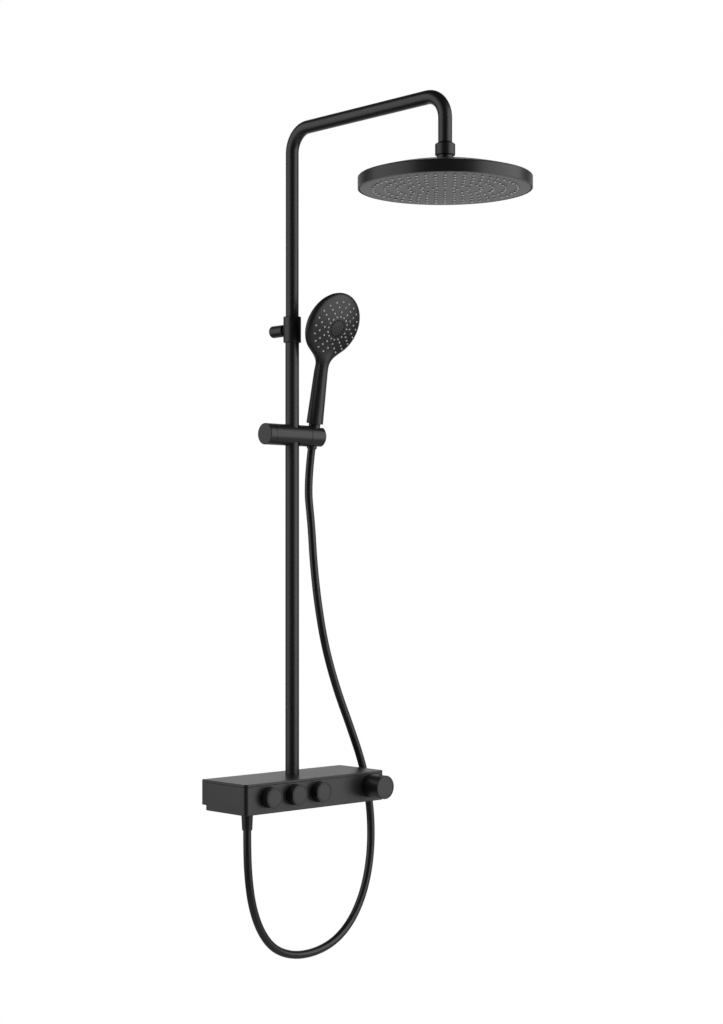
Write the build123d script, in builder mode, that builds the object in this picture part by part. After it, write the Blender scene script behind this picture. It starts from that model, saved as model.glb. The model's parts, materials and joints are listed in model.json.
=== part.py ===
from build123d import *
import math
import os

os.makedirs("parts", exist_ok=True)

# Clearances
running_fit = 0.05
free_gap = 0.4
edge_break = 0.8
edge_round = 1.0

# Shelf mixer casing, flat against the wall (the wall is the plane Y = 0, the front is -Y)
shelf_length = 320.0
shelf_depth = 115.0
shelf_height = 52.0
shelf_plate = 4.0
shelf_corner = 8.0
housing_wall = 2.5
back_plate_depth = 11.0
back_plate_height = 39.0
screw_inset = 14.0
screw_radius = 1.9
screw_head_radius = 3.4
screw_head_height = 2.0
screw_boss_radius = 4.8
screw_bite = 2.6

# Water inlets
inlet_spacing = 150.0
inlet_thread_radius = 12.06
inlet_nut_radius = 16.0
inlet_nut_sides = 6
inlet_nut_length = 18.0
inlet_nut_floor = 3.0
inlet_pipe_radius = 10.0
inlet_bore_radius = 7.0
inlet_flange_radius = 11.6
inlet_flange = 2.5
washer_thickness = 2.0
washer_hole_radius = 6.0
strainer_thickness = 3.0
strainer_depth = 4.0
strainer_ring = 3.5
strainer_hole = 1.15
strainer_count = 6

# Valve manifold inside the casing, set back from the front and in from the ends
manifold_setback = 40.0
manifold_depth = 41.0
manifold_headroom = 3.5
manifold_inset_left = 20.0
manifold_inset_right = 12.0
gallery_radius = 5.0
gallery_inset = 9.0
drilling_radius = 3.0
valve_bore_radius = 11.0
valve_bore_depth = 15.0
valve_flange_radius = 14.0
valve_flange = 3.0
valve_nose_radius = 7.0
valve_nose_length = 8.0

# Push buttons on the front
button_names = ("left", "middle", "right")
button_inset = 52.0
button_pitch = 56.0
button_below_inlets = 1.0
button_radius = 17.5
button_reach = 15.0
button_tail = 5.5
button_wall = 2.2
button_face_ring = 2.6
stem_radius = 3.5
stem_dip = 6.0
guide_wall = 2.2
guide_length = 8.5
spring_wire = 1.2
spring_turns = 4

# Temperature control
knob_inset = 33.0
knob_radius = 20.6
knob_length = 37.0
knob_stand_off = 1.0
knob_wall = 3.0
knob_web = 3.0
knob_web_depth = 21.0
knob_cap_thickness = 3.0
hub_radius = 8.0
hub_length = 25.0
hub_socket = 16.6
spindle_bite = 8.3
cartridge_radius = 13.0
cartridge_depth = 25.0
cartridge_flange_radius = 15.5
cartridge_flange = 4.0
cartridge_nose_radius = 10.0
cartridge_nose_length = 13.0
spool_radius = 4.0
spool_room = 4.0
spool_end_gap = 1.0
stop_ring_radius = 14.0
stop_ring_length = 4.0
catch_radius = 3.4
catch_setback = 12.8
catch_proud = 0.9
catch_flange = 1.4
catch_spring_wire = 0.8
catch_spring_turns = 2

# Riser and its wall bracket
riser_offset = 50.0
lower_tube_radius = 12.0
lower_tube_wall = 0.65
upper_tube_wall = 1.2
lower_tube_height = 790.0
riser_seat_depth = 4.0
riser_gasket_height = 1.5
riser_passage_radius = 7.0
socket_radius = 15.0
socket_gap = 1.1
riser_nut_radius = 19.0
bracket_height = 774.3
bracket_length = 45.0
bracket_collar_radius = 15.5
bracket_neck_radius = 7.0
bracket_neck_gap = 3.5
standoff_radius = 10.5
standoff_socket = 9.0
wall_base_flange = 3.0
wall_base_plug = 11.0
wall_screw_radius = 2.6

# Swivel arm
arm_height = 1121.0
arm_reach = 371.0
arm_bend = 40.0
upper_tube_insert = 300.0
bush_length = 22.0
bush_spigot = 16.0
bush_bore_radius = 7.7
seal_height = 2.4
seal_depth = 1.6
seal_inset = 6.6

# Rain head on its ball joint
pivot_drop = 90.5
ball_radius = 10.5
ball_neck_radius = 6.0
ball_bore_radius = 4.0
pipe_end_gap = 2.5
plug_length = 14.0
ball_clearance = 0.15
ball_overlap = 1.1
seat_wall = 1.3
seat_top_drop = 1.0
seat_bottom_drop = 7.9
seat_side_gap = 1.6
neck_top_drop = 4.0
nut_wall = 2.8
nut_height = 19.2
head_radius = 140.0
head_rim = 19.7
head_rise = 53.3
head_wall = 1.6
head_top_wall = 2.4
head_dome = 24.0
head_crown = 14.9
head_neck_flare = 8.0
face_thickness = 3.0
mat_thickness = 1.5
nozzle_radius = 1.4
nozzle_proud = 2.0
nozzle_spokes = 8
nozzle_rings = 6
nozzle_ring_step = 19.3
nozzle_turn = -0.8
regulator_radius = 8.0
regulator_height = 5.0

# Hand shower slider on the riser
slider_height = 590.6
slider_radius = 18.5
slider_left = -48.6
slider_right = 31.6
bush_wall = 1.95
bush_ring = 5.6
bush_span = 11.5
lock_knob_length = 14.0
lock_knob_floor = 4.7
lock_knob_gap = 0.5
lock_screw_radius = 3.9
clamp_pad_radius = 5.0
clamp_pad_length = 11.0
clamp_travel = 2.0
pivot_radius = 5.0
pivot_length = 13.0
cradle_length = 33.0
cradle_radius = 18.3
cradle_gap = 0.7
cradle_clearance = 0.35

# Hand shower
grip_tilt = 10.3
face_tilt = 24.0
grip_start = 23.0
grip_end_radius = 14.8
grip_neck_radius = 11.8
grip_neck = 125.0
grip_bore_radius = 9.0
shower_head_along = 195.9
shower_head_forward = 25.1
shower_head_radius = 58.4
shower_head_round = 5.0
shower_neck_width = 17.0
shower_neck_depth = 12.6
shower_neck_forward = 1.6
shower_flare_rise = 30.0
shower_flare_width = 36.0
shower_flare_depth = 7.0
shower_flare_forward = 10.5
spray_drop = 1.8
spray_crown = 5.4
shower_head_rim = 12.0
shower_head_back = 15.4
shower_face_radius = 47.8
shower_face_thickness = 3.0
shower_cavity = 10.0
shower_channel_radius = 2.5
shower_ring_radii = (20.7, 29.0, 37.7, 46.3)
shower_ring_counts = (16, 12, 16, 19)
shower_ring_starts = (0.0, 0.0, 11.25, -72.0)
shower_ring_sweeps = (360.0, 360.0, 360.0, 342.0)
shower_jet_ring = 14.5
shower_jet_count = 16
shower_jet_radius = 1.1
shower_nozzle_radius = 0.9
shower_nozzle_proud = 0.8
core_radius = 6.5
core_bore_radius = 4.5
core_collar = 16.0

# Hose and its nuts
hose_radius = 7.0
hose_bore_radius = 4.5
outlet_inset = 58.0
outlet_thread_radius = 8.0
outlet_thread_length = 16.0
hose_nut_radius = 10.35
hose_nut_end_radius = 8.8
hose_nut_length = 35.0
upper_nut_tail = 22.0
hose_lead = 65.0
hose_foot = 34.6
hose_points = [
    (58.5, 15.5, 437.0),
    (65.5, 17.5, 367.0),
    (76.5, 18.0, 294.0),
    (93.5, 18.0, 218.0),
    (119.5, 16.5, 143.0),
    (151.5, 14.0, 71.5),
    (180.5, 12.5, 3.0),
    (197.5, 12.5, -63.0),
    (202.0, 12.0, -125.5),
    (195.0, 10.5, -183.0),
    (176.5, 8.5, -234.5),
    (145.5, 6.0, -277.5),
    (104.0, 4.0, -306.5),
    (53.5, 2.5, -319.0),
    (2.0, 1.5, -317.0),
    (-42.5, 0.8, -299.0),
    (-73.0, 0.4, -263.5),
    (-91.5, 0.1, -217.5),
    (-99.5, 0.0, -168.0),
]
hose_runs_with_cradle = 1
hose_runs_with_slider = 3
bend_share = 0.45

# Worked-out places
riser_y = -riser_offset
shelf_top_z = back_plate_height / 2 + shelf_plate
housing_top = shelf_top_z - shelf_plate
housing_bottom = shelf_top_z - shelf_height
half_length = shelf_length / 2
button_z = -button_below_inlets
button_x = [button_inset - half_length + button_pitch * index for index in range(len(button_names))]
knob_x = half_length - knob_inset
outlet_x = outlet_inset - half_length
bracket_z = shelf_top_z + bracket_height
slider_z = shelf_top_z + slider_height
arm_z = shelf_top_z + arm_height
ball_z = arm_z - pivot_drop
drop_y = riser_y - arm_reach
upper_tube_radius = lower_tube_radius - lower_tube_wall - running_fit
upper_tube_bore = upper_tube_radius - upper_tube_wall
lower_tube_top = shelf_top_z + lower_tube_height
upper_tube_bottom = lower_tube_top - upper_tube_insert
seat_radius = ball_radius + seat_wall
nut_bore_radius = seat_radius + seat_side_gap
nut_radius = nut_bore_radius + nut_wall
nut_lip_radius = ball_radius - ball_overlap
nut_bottom = ball_z - nut_height / 2
nut_top = ball_z + nut_height / 2
head_bottom = nut_bottom - head_rise
cradle_left = slider_right + cradle_gap
cradle_right = cradle_left + cradle_length
cradle_x = (cradle_left + cradle_right) / 2


def keep(piece, label):
    """Label a finished piece and write it to its own file."""
    piece.part.label = label
    export_step(piece.part, f"parts/{label}.step")


def upright_plane(x, y):
    """Sketch plane for turning about a vertical axis: X is the radius, Y the height."""
    return Plane(origin=(x, y, 0), x_dir=(1, 0, 0), z_dir=(0, -1, 0))


def front_plane(x, z):
    """Sketch plane for turning about a front-to-back axis: X is the radius, Y the distance from the wall."""
    return Plane(origin=(x, 0, z), x_dir=(1, 0, 0), z_dir=(0, 0, -1))


def turn(outline, plane, mode=Mode.ADD):
    """Revolve a closed outline of (radius, height) points about the plane's own Y axis."""
    with BuildSketch(plane) as section:
        with BuildLine():
            Polyline(*outline, close=True)
        make_face()
    revolve(section.sketch, axis=Axis(plane.origin, plane.y_dir), mode=mode)


def ring(plane, inner, outer, low, high, mode=Mode.ADD):
    """A plain ring between two radii and two heights."""
    turn([(inner, low), (outer, low), (outer, high), (inner, high)], plane, mode)


def rod(plane, radius, low, high, mode=Mode.ADD):
    """A plain round bar, or with Mode.SUBTRACT a round hole."""
    ring(plane, 0, radius, low, high, mode)


riser_plane = upright_plane(0, riser_y)
drop_plane = upright_plane(0, drop_y)
outlet_plane = upright_plane(outlet_x, riser_y)
knob_plane = front_plane(knob_x, button_z)
button_planes = [front_plane(x, button_z) for x in button_x]
inlet_planes = [front_plane(side * inlet_spacing / 2, 0) for side in (-1, 1)]
bracket_plane = front_plane(0, bracket_z)
slider_plane = Plane(origin=(0, riser_y, slider_z), x_dir=(0, 0, 1), z_dir=(0, 1, 0))
grip_lean = math.radians(grip_tilt)
grip_plane = Plane(
    origin=(cradle_x, riser_y, slider_z),
    x_dir=(1, 0, 0),
    z_dir=(0, -math.cos(grip_lean), -math.sin(grip_lean)),
)
face_lean = math.radians(face_tilt)
face_centre = grip_plane.from_local_coords((0, shower_head_along, shower_head_forward))
face_forward = Vector(0, -math.cos(face_lean), -math.sin(face_lean))
face_down = Vector(0, math.sin(face_lean), -math.cos(face_lean))
spray_centre = face_centre + face_down * spray_drop
spray_plane = Plane(origin=spray_centre, x_dir=(1, 0, 0), z_dir=face_forward)
head_turning = Plane(origin=face_centre, x_dir=(1, 0, 0), z_dir=face_down)
spray_turning = Plane(origin=spray_centre, x_dir=(1, 0, 0), z_dir=face_down)
screw_spots = [
    (side * (half_length - screw_inset), -y)
    for side in (-1, 1)
    for y in (back_plate_depth + screw_inset, shelf_depth - screw_inset)
]

# Mixer housing: a tray open at the top and the back, with a boss for each cover screw
with BuildPart() as mixer_housing:
    with BuildSketch(Plane.XY.offset(housing_bottom)) as plan:
        with Locations((0, -(shelf_depth + back_plate_depth) / 2)):
            Rectangle(shelf_length, shelf_depth - back_plate_depth)
        fillet(plan.vertices().group_by(Axis.Y)[0], shelf_corner)
    extrude(amount=housing_top - housing_bottom)
    chamfer(mixer_housing.faces().sort_by(Axis.Z)[-1].edges().sort_by(Axis.Y)[:-1], edge_break)
    fillet(mixer_housing.faces().sort_by(Axis.Z)[0].edges().sort_by(Axis.Y)[:-1], edge_round)
    with BuildSketch(Plane.XY.offset(housing_bottom + housing_wall)) as cavity:
        with Locations((0, -(shelf_depth + back_plate_depth - housing_wall) / 2)):
            Rectangle(shelf_length - 2 * housing_wall, shelf_depth - back_plate_depth - housing_wall)
        fillet(cavity.vertices().group_by(Axis.Y)[0], shelf_corner - housing_wall)
    extrude(amount=housing_top - housing_bottom - housing_wall, mode=Mode.SUBTRACT)
    for spot in screw_spots:
        spot_plane = upright_plane(*spot)
        rod(spot_plane, screw_boss_radius, housing_bottom, housing_top)
        rod(spot_plane, screw_radius + running_fit, housing_bottom, housing_top, Mode.SUBTRACT)
        rod(spot_plane, screw_head_radius + free_gap, housing_bottom, housing_bottom + screw_head_height,
            Mode.SUBTRACT)
    for plane in button_planes:
        rod(plane, button_radius + free_gap, shelf_depth - 2 * housing_wall, shelf_depth + housing_wall,
            Mode.SUBTRACT)
    rod(knob_plane, hub_radius + 2 * free_gap, shelf_depth - 2 * housing_wall, shelf_depth + housing_wall,
        Mode.SUBTRACT)
    rod(outlet_plane, outlet_thread_radius + free_gap, housing_bottom - housing_wall,
        housing_bottom + 2 * housing_wall, Mode.SUBTRACT)
keep(mixer_housing, "mixer_housing")

# Shelf top: the flat plate that things stand on, with the riser passing through it
with BuildPart() as shelf_top:
    with BuildSketch(Plane.XY.offset(housing_top)) as plan:
        with Locations((0, -shelf_depth / 2)):
            Rectangle(shelf_length, shelf_depth)
        fillet(plan.vertices().group_by(Axis.Y)[0], shelf_corner)
    extrude(amount=shelf_plate)
    fillet(shelf_top.faces().sort_by(Axis.Z)[-1].edges().sort_by(Axis.Y)[:-1], edge_round)
    rod(riser_plane, lower_tube_radius + running_fit, housing_top, shelf_top_z, Mode.SUBTRACT)
    for spot in screw_spots:
        spot_plane = upright_plane(*spot)
        screw_end = housing_top + screw_bite + free_gap
        rod(spot_plane, screw_radius + running_fit, housing_top, screw_end, Mode.SUBTRACT)
keep(shelf_top, "shelf_top")

# Back plate against the wall, with a window for each inlet nut
with BuildPart() as back_plate:
    with BuildSketch(Plane.XZ) as outline:
        Rectangle(shelf_length, back_plate_height)
    extrude(amount=back_plate_depth)
    for plane in inlet_planes:
        rod(plane, inlet_nut_radius + free_gap, 0, back_plate_depth, Mode.SUBTRACT)
keep(back_plate, "back_plate")

# Cover screws, put in from below
with BuildPart() as cover_screws:
    for spot in screw_spots:
        spot_plane = upright_plane(*spot)
        rod(spot_plane, screw_head_radius, housing_bottom, housing_bottom + screw_head_height)
        rod(spot_plane, screw_radius, housing_bottom, housing_top + screw_bite)
keep(cover_screws, "cover_screws")

# Valve manifold: a bar with its gallery, inlet pipes, riser socket, valve bores and hose port
inlet_nut_end = inlet_nut_length - inlet_nut_floor
inlet_pipe_front = inlet_nut_end - inlet_flange
manifold_front = shelf_depth - manifold_setback
manifold_back = manifold_front - manifold_depth
manifold_left = manifold_inset_left - half_length
manifold_right = half_length - manifold_inset_right
manifold_half_height = housing_top - manifold_headroom
gallery_depth = manifold_back + gallery_inset
riser_seat_z = manifold_half_height - riser_seat_depth
socket_top = housing_top - socket_gap
valve_bottom = manifold_front - valve_bore_depth
cartridge_bottom = manifold_front - cartridge_depth
with BuildPart() as valve_manifold:
    with BuildSketch(Plane.XY.offset(-manifold_half_height)):
        with Locations(((manifold_left + manifold_right) / 2, -(manifold_back + manifold_front) / 2)):
            Rectangle(manifold_right - manifold_left, manifold_front - manifold_back)
    extrude(amount=2 * manifold_half_height)
    rod(riser_plane, socket_radius, 0, socket_top)
    for plane in inlet_planes:
        rod(plane, inlet_pipe_radius, inlet_pipe_front, manifold_back)
        rod(plane, inlet_flange_radius, inlet_pipe_front, inlet_nut_end)
        rod(plane, inlet_bore_radius, inlet_pipe_front, gallery_depth, Mode.SUBTRACT)
    rod(riser_plane, lower_tube_radius + running_fit, riser_seat_z, socket_top, Mode.SUBTRACT)
    rod(riser_plane, riser_passage_radius, 0, riser_seat_z, Mode.SUBTRACT)
    for plane in button_planes:
        rod(plane, valve_bore_radius + running_fit, valve_bottom, manifold_front, Mode.SUBTRACT)
        rod(plane, drilling_radius, gallery_depth, valve_bottom, Mode.SUBTRACT)
    rod(knob_plane, cartridge_radius + running_fit, cartridge_bottom, manifold_front, Mode.SUBTRACT)
    rod(knob_plane, drilling_radius, gallery_depth, cartridge_bottom, Mode.SUBTRACT)
    rod(outlet_plane, outlet_thread_radius + running_fit, -manifold_half_height,
        -manifold_half_height + outlet_thread_length / 2, Mode.SUBTRACT)
    rod(outlet_plane, hose_bore_radius, -manifold_half_height, 0, Mode.SUBTRACT)
    with BuildSketch(Plane.YZ.offset(manifold_left + gallery_radius)):
        with Locations((-gallery_depth, 0)):
            Circle(gallery_radius)
    extrude(amount=manifold_right - manifold_left - 2 * gallery_radius, mode=Mode.SUBTRACT)
keep(valve_manifold, "valve_manifold")

# Union nuts on the inlets, held by the flange of each inlet pipe
washer_back = inlet_pipe_front - washer_thickness
with BuildPart() as inlet_nuts:
    for plane in inlet_planes:
        with BuildSketch(Plane(origin=plane.origin, x_dir=(1, 0, 0), z_dir=(0, -1, 0))) as hexagon:
            RegularPolygon(inlet_nut_radius, inlet_nut_sides)
        extrude(hexagon.sketch, amount=inlet_nut_length)
        rod(plane, inlet_thread_radius, 0, inlet_nut_end, Mode.SUBTRACT)
        rod(plane, inlet_thread_radius + free_gap, washer_back, inlet_nut_end, Mode.SUBTRACT)
        rod(plane, inlet_pipe_radius + free_gap, inlet_nut_end, inlet_nut_length, Mode.SUBTRACT)
keep(inlet_nuts, "inlet_nuts")

# Flat washers in front of the inlet flanges
with BuildPart() as inlet_washers:
    for plane in inlet_planes:
        ring(plane, washer_hole_radius, inlet_flange_radius, washer_back, inlet_pipe_front)
keep(inlet_washers, "inlet_washers")

# Strainers in the inlet pipes: a drilled disc
strainer_front = inlet_pipe_front + strainer_depth
with BuildPart() as inlet_strainers:
    for plane in inlet_planes:
        rod(plane, inlet_bore_radius - running_fit, strainer_front, strainer_front + strainer_thickness)
        drilled = Plane(origin=plane.origin, x_dir=(1, 0, 0), z_dir=(0, -1, 0)).offset(strainer_front)
        with BuildSketch(drilled) as holes:
            with PolarLocations(strainer_ring, strainer_count):
                Circle(strainer_hole)
            Circle(strainer_hole)
        extrude(holes.sketch, amount=strainer_thickness, mode=Mode.SUBTRACT)
keep(inlet_strainers, "inlet_strainers")

# Shut-off valve behind each push button
with BuildPart() as shut_off_valves:
    for plane in button_planes:
        rod(plane, valve_bore_radius, valve_bottom, manifold_front)
        rod(plane, valve_flange_radius, manifold_front, manifold_front + valve_flange)
        rod(plane, valve_nose_radius, manifold_front, manifold_front + valve_flange + valve_nose_length)
        rod(plane, stem_radius + running_fit, valve_bottom + drilling_radius,
            manifold_front + valve_flange + valve_nose_length, Mode.SUBTRACT)
keep(shut_off_valves, "shut_off_valves")

# Guide sleeve behind the front wall for each push button
guide_front = shelf_depth - housing_wall
with BuildPart() as button_guides:
    for plane in button_planes:
        ring(plane, button_radius + free_gap, button_radius + free_gap + guide_wall,
             guide_front - guide_length, guide_front)
keep(button_guides, "button_guides")

# Push buttons: a hollow cap with a ring on its face, on a stem that works the valve
valve_nose_end = manifold_front + valve_flange + valve_nose_length
button_front = shelf_depth + button_reach
button_back = shelf_depth - button_tail
for name, plane in zip(button_names, button_planes):
    with BuildPart() as push_button:
        turn(
            [
                (0, valve_nose_end - stem_dip),
                (stem_radius, valve_nose_end - stem_dip),
                (stem_radius, button_front - button_wall),
                (button_radius - button_wall, button_front - button_wall),
                (button_radius - button_wall, button_back),
                (button_radius, button_back),
                (button_radius, button_front - edge_break),
                (button_radius - edge_break, button_front),
                (button_radius - button_face_ring, button_front),
                (button_radius - button_face_ring, button_front - edge_break / 2),
                (button_radius - button_face_ring - edge_break, button_front - edge_break / 2),
                (button_radius - button_face_ring - edge_break, button_front),
                (0, button_front),
            ],
            plane,
        )
    keep(push_button, f"push_button_{name}")

# Return spring round each button stem, between the valve and the cap
spring_low = valve_nose_end - valve_nose_length
spring_high = button_front - button_wall
spring_pitch = (spring_high - spring_low - spring_wire) / spring_turns
spring_coil_radius = valve_nose_radius + spring_wire
for name, x in zip(button_names, button_x):
    with BuildPart() as button_spring:
        with BuildLine() as coil:
            Helix(
                spring_pitch,
                spring_turns * spring_pitch - 2 * running_fit,
                spring_coil_radius,
                center=(x, -(spring_low + spring_wire / 2 + running_fit), button_z),
                direction=(0, -1, 0),
            )
        with BuildSketch(Plane(origin=coil.line @ 0, z_dir=coil.line % 0)):
            Circle(spring_wire / 2)
        sweep(path=coil.line, is_frenet=True)
    keep(button_spring, f"button_spring_{name}")

# Thermostatic cartridge with its temperature stop ring
nose_end = manifold_front + cartridge_flange + cartridge_nose_length
spool_bottom = cartridge_bottom + spool_room
with BuildPart() as thermostat_cartridge:
    rod(knob_plane, cartridge_radius, cartridge_bottom, manifold_front)
    rod(knob_plane, cartridge_flange_radius, manifold_front, manifold_front + cartridge_flange)
    rod(knob_plane, cartridge_nose_radius, manifold_front, nose_end)
    rod(knob_plane, spool_radius + running_fit, cartridge_bottom + spool_end_gap, nose_end, Mode.SUBTRACT)
keep(thermostat_cartridge, "thermostat_cartridge")

with BuildPart() as temperature_stop_ring:
    ring(knob_plane, cartridge_nose_radius + running_fit, stop_ring_radius,
         nose_end - 2 * stop_ring_length, nose_end - stop_ring_length)
keep(temperature_stop_ring, "temperature_stop_ring")

# Temperature knob: an open barrel with a web inside
knob_back = shelf_depth + knob_stand_off
knob_front = knob_back + knob_length
web_front = knob_front - knob_web_depth
web_back = web_front - knob_web
catch_out = knob_front - catch_setback
catch_plane = upright_plane(knob_x, -catch_out)
with BuildPart() as temperature_knob:
    turn(
        [
            (knob_radius - knob_wall, knob_back),
            (knob_radius, knob_back),
            (knob_radius, knob_front - edge_break),
            (knob_radius - edge_break, knob_front),
            (knob_radius - knob_wall, knob_front),
            (knob_radius - knob_wall, web_front),
            (screw_radius + running_fit, web_front),
            (screw_radius + running_fit, web_back),
            (knob_radius - knob_wall, web_back),
        ],
        knob_plane,
    )
    rod(catch_plane, catch_radius + running_fit, button_z, button_z + 2 * knob_radius, Mode.SUBTRACT)
keep(temperature_knob, "temperature_knob")

# Hub that carries the knob's web on the temperature spindle
hub_back = web_back - hub_length
spool_front = hub_back + spindle_bite
hub_floor = hub_back + hub_socket
with BuildPart() as knob_hub:
    rod(knob_plane, hub_radius, hub_back, web_back)
    rod(knob_plane, spool_radius + running_fit, hub_back, hub_floor, Mode.SUBTRACT)
    rod(knob_plane, screw_radius + running_fit, hub_back, web_back, Mode.SUBTRACT)
keep(knob_hub, "knob_hub")

with BuildPart() as knob_screw:
    rod(knob_plane, screw_radius, hub_floor, web_front)
    rod(knob_plane, screw_head_radius, web_front, web_front + screw_head_height)
keep(knob_screw, "knob_screw")

# Cap that closes the knob's front, on a tube that stands on the web
cap_front = knob_front - edge_break / 2
cap_tube = screw_head_radius + 2 * free_gap
with BuildPart() as knob_cap:
    rod(knob_plane, knob_radius - knob_wall - running_fit, cap_front - knob_cap_thickness, cap_front)
    ring(knob_plane, cap_tube, cap_tube + knob_wall / 2, web_front, cap_front - knob_cap_thickness)
keep(knob_cap, "knob_cap")

# Safety catch in the top of the knob, pressed to turn past the stop
catch_top = button_z + knob_radius + catch_proud
catch_ceiling = button_z + knob_radius - knob_wall - free_gap
catch_seat = button_z + cap_tube + knob_wall / 2
with BuildPart() as safety_catch:
    turn(
        [
            (0, catch_ceiling - catch_flange),
            (catch_radius + catch_flange, catch_ceiling - catch_flange),
            (catch_radius + catch_flange, catch_ceiling - catch_flange / 2),
            (catch_radius, catch_ceiling - catch_flange / 2),
            (catch_radius, catch_top - edge_break),
            (catch_radius - edge_break, catch_top),
            (0, catch_top),
        ],
        catch_plane,
    )
keep(safety_catch, "safety_catch")

catch_spring_base = catch_seat + free_gap + catch_spring_wire / 2
catch_spring_rise = catch_ceiling - catch_flange - catch_spring_wire / 2 - running_fit - catch_spring_base
with BuildPart() as catch_spring:
    with BuildLine() as coil:
        Helix(
            catch_spring_rise / catch_spring_turns,
            catch_spring_rise,
            catch_radius - catch_spring_wire,
            center=(knob_x, -catch_out, catch_spring_base),
        )
    with BuildSketch(Plane(origin=coil.line @ 0, z_dir=coil.line % 0)):
        Circle(catch_spring_wire / 2)
    sweep(path=coil.line, is_frenet=True)
keep(catch_spring, "catch_spring")

# Temperature spindle, driven in and out of the cartridge by the knob
with BuildPart() as temperature_spindle:
    rod(knob_plane, spool_radius, spool_bottom, spool_front)
keep(temperature_spindle, "temperature_spindle")

# Lower riser tube with its gasket and clamping nut
tube_foot = riser_seat_z + riser_gasket_height
with BuildPart() as riser_gasket:
    ring(riser_plane, riser_passage_radius, lower_tube_radius, riser_seat_z, tube_foot)
keep(riser_gasket, "riser_gasket")

with BuildPart() as lower_riser_tube:
    ring(riser_plane, lower_tube_radius - lower_tube_wall, lower_tube_radius, tube_foot, lower_tube_top)
keep(lower_riser_tube, "lower_riser_tube")

with BuildPart() as riser_nut:
    turn(
        [
            (socket_radius + running_fit, manifold_half_height + free_gap),
            (riser_nut_radius, manifold_half_height + free_gap),
            (riser_nut_radius, housing_top - free_gap),
            (lower_tube_radius + running_fit, housing_top - free_gap),
            (lower_tube_radius + running_fit, socket_top),
            (socket_radius + running_fit, socket_top),
        ],
        riser_plane,
    )
keep(riser_nut, "riser_nut")

# Wall bracket: collar on the riser, standoff, and the base that is screwed to the wall
bracket_top = bracket_z + bracket_length / 2
bracket_bottom = bracket_z - bracket_length / 2
standoff_front = riser_offset - bracket_collar_radius - bracket_neck_gap
with BuildPart() as bracket_collar:
    rod(riser_plane, bracket_collar_radius, bracket_bottom, bracket_top)
    chamfer(bracket_collar.edges().filter_by(GeomType.CIRCLE), edge_break)
    rod(bracket_plane, bracket_neck_radius, standoff_front - standoff_socket, riser_offset)
    rod(riser_plane, lower_tube_radius + running_fit, bracket_bottom, lower_tube_top, Mode.SUBTRACT)
    rod(riser_plane, upper_tube_radius + free_gap, bracket_bottom, bracket_top, Mode.SUBTRACT)
keep(bracket_collar, "bracket_collar")

with BuildPart() as bracket_standoff:
    turn(
        [
            (standoff_radius - wall_base_flange / 2, wall_base_flange),
            (standoff_radius, wall_base_flange),
            (standoff_radius, standoff_front - edge_break),
            (standoff_radius - edge_break, standoff_front),
            (bracket_neck_radius + running_fit, standoff_front),
            (bracket_neck_radius + running_fit, standoff_front - standoff_socket),
            (standoff_radius - wall_base_flange / 2, standoff_front - standoff_socket),
        ],
        bracket_plane,
    )
keep(bracket_standoff, "bracket_standoff")

base_plug_radius = standoff_radius - wall_base_flange / 2 - running_fit
with BuildPart() as bracket_wall_base:
    rod(bracket_plane, standoff_radius, 0, wall_base_flange)
    rod(bracket_plane, base_plug_radius, 0, wall_base_flange + wall_base_plug)
    rod(bracket_plane, wall_screw_radius, 0, wall_base_flange + wall_base_plug, Mode.SUBTRACT)
keep(bracket_wall_base, "bracket_wall_base")

# Guide bush and seals at the foot of the upper tube, sliding in the lower tube
bush_bottom = upper_tube_bottom - bush_length
seal_levels = [bush_bottom + seal_inset, upper_tube_bottom - seal_inset - seal_height]
bush_core = upper_tube_radius - seal_depth
spigot_radius = upper_tube_bore - running_fit
spigot_top = upper_tube_bottom + bush_spigot
with BuildPart() as telescope_bush:
    ring(riser_plane, bush_bore_radius, upper_tube_radius, bush_bottom, upper_tube_bottom)
    ring(riser_plane, bush_bore_radius, spigot_radius, upper_tube_bottom, spigot_top)
    for level in seal_levels:
        ring(riser_plane, bush_core, upper_tube_radius, level, level + seal_height, Mode.SUBTRACT)
keep(telescope_bush, "telescope_bush")

with BuildPart() as telescope_seals:
    for level in seal_levels:
        ring(riser_plane, bush_core, upper_tube_radius, level, level + seal_height)
keep(telescope_seals, "telescope_seals")

# Upper tube and swivel arm: one bent pipe that ends above the ball joint
pipe_end = nut_top + pipe_end_gap
with BuildPart() as arm_pipe:
    with BuildLine() as arm_path:
        FilletPolyline(
            (0, riser_y, upper_tube_bottom + running_fit),
            (0, riser_y, arm_z),
            (0, drop_y, arm_z),
            (0, drop_y, pipe_end),
            radius=arm_bend,
        )
    with BuildSketch(Plane(origin=(0, riser_y, upper_tube_bottom + running_fit))):
        Circle(upper_tube_radius)
        Circle(upper_tube_bore, mode=Mode.SUBTRACT)
    sweep(path=arm_path.line)
keep(arm_pipe, "arm_pipe")

# Ball connector fixed in the end of the arm
with BuildPart() as ball_connector:
    with Locations((0, drop_y, ball_z)):
        Sphere(ball_radius)
    rod(drop_plane, ball_neck_radius, ball_z, pipe_end + plug_length)
    rod(drop_plane, upper_tube_bore - running_fit, pipe_end, pipe_end + plug_length)
    rod(drop_plane, ball_bore_radius, ball_z - 2 * ball_radius, pipe_end + plug_length, Mode.SUBTRACT)
keep(ball_connector, "ball_connector")

# Seat ring under the ball, turning with the head: round about the ball's centre, so the head can tilt on it
seat_low = ball_z - seat_bottom_drop
seat_high = ball_z - seat_top_drop
with BuildPart() as ball_seat:
    with Locations((0, drop_y, ball_z)):
        Sphere(seat_radius)
    rod(drop_plane, seat_radius, seat_low, seat_high, Mode.INTERSECT)
    with Locations((0, drop_y, ball_z)):
        Sphere(ball_radius + running_fit, mode=Mode.SUBTRACT)
keep(ball_seat, "ball_seat")

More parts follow.
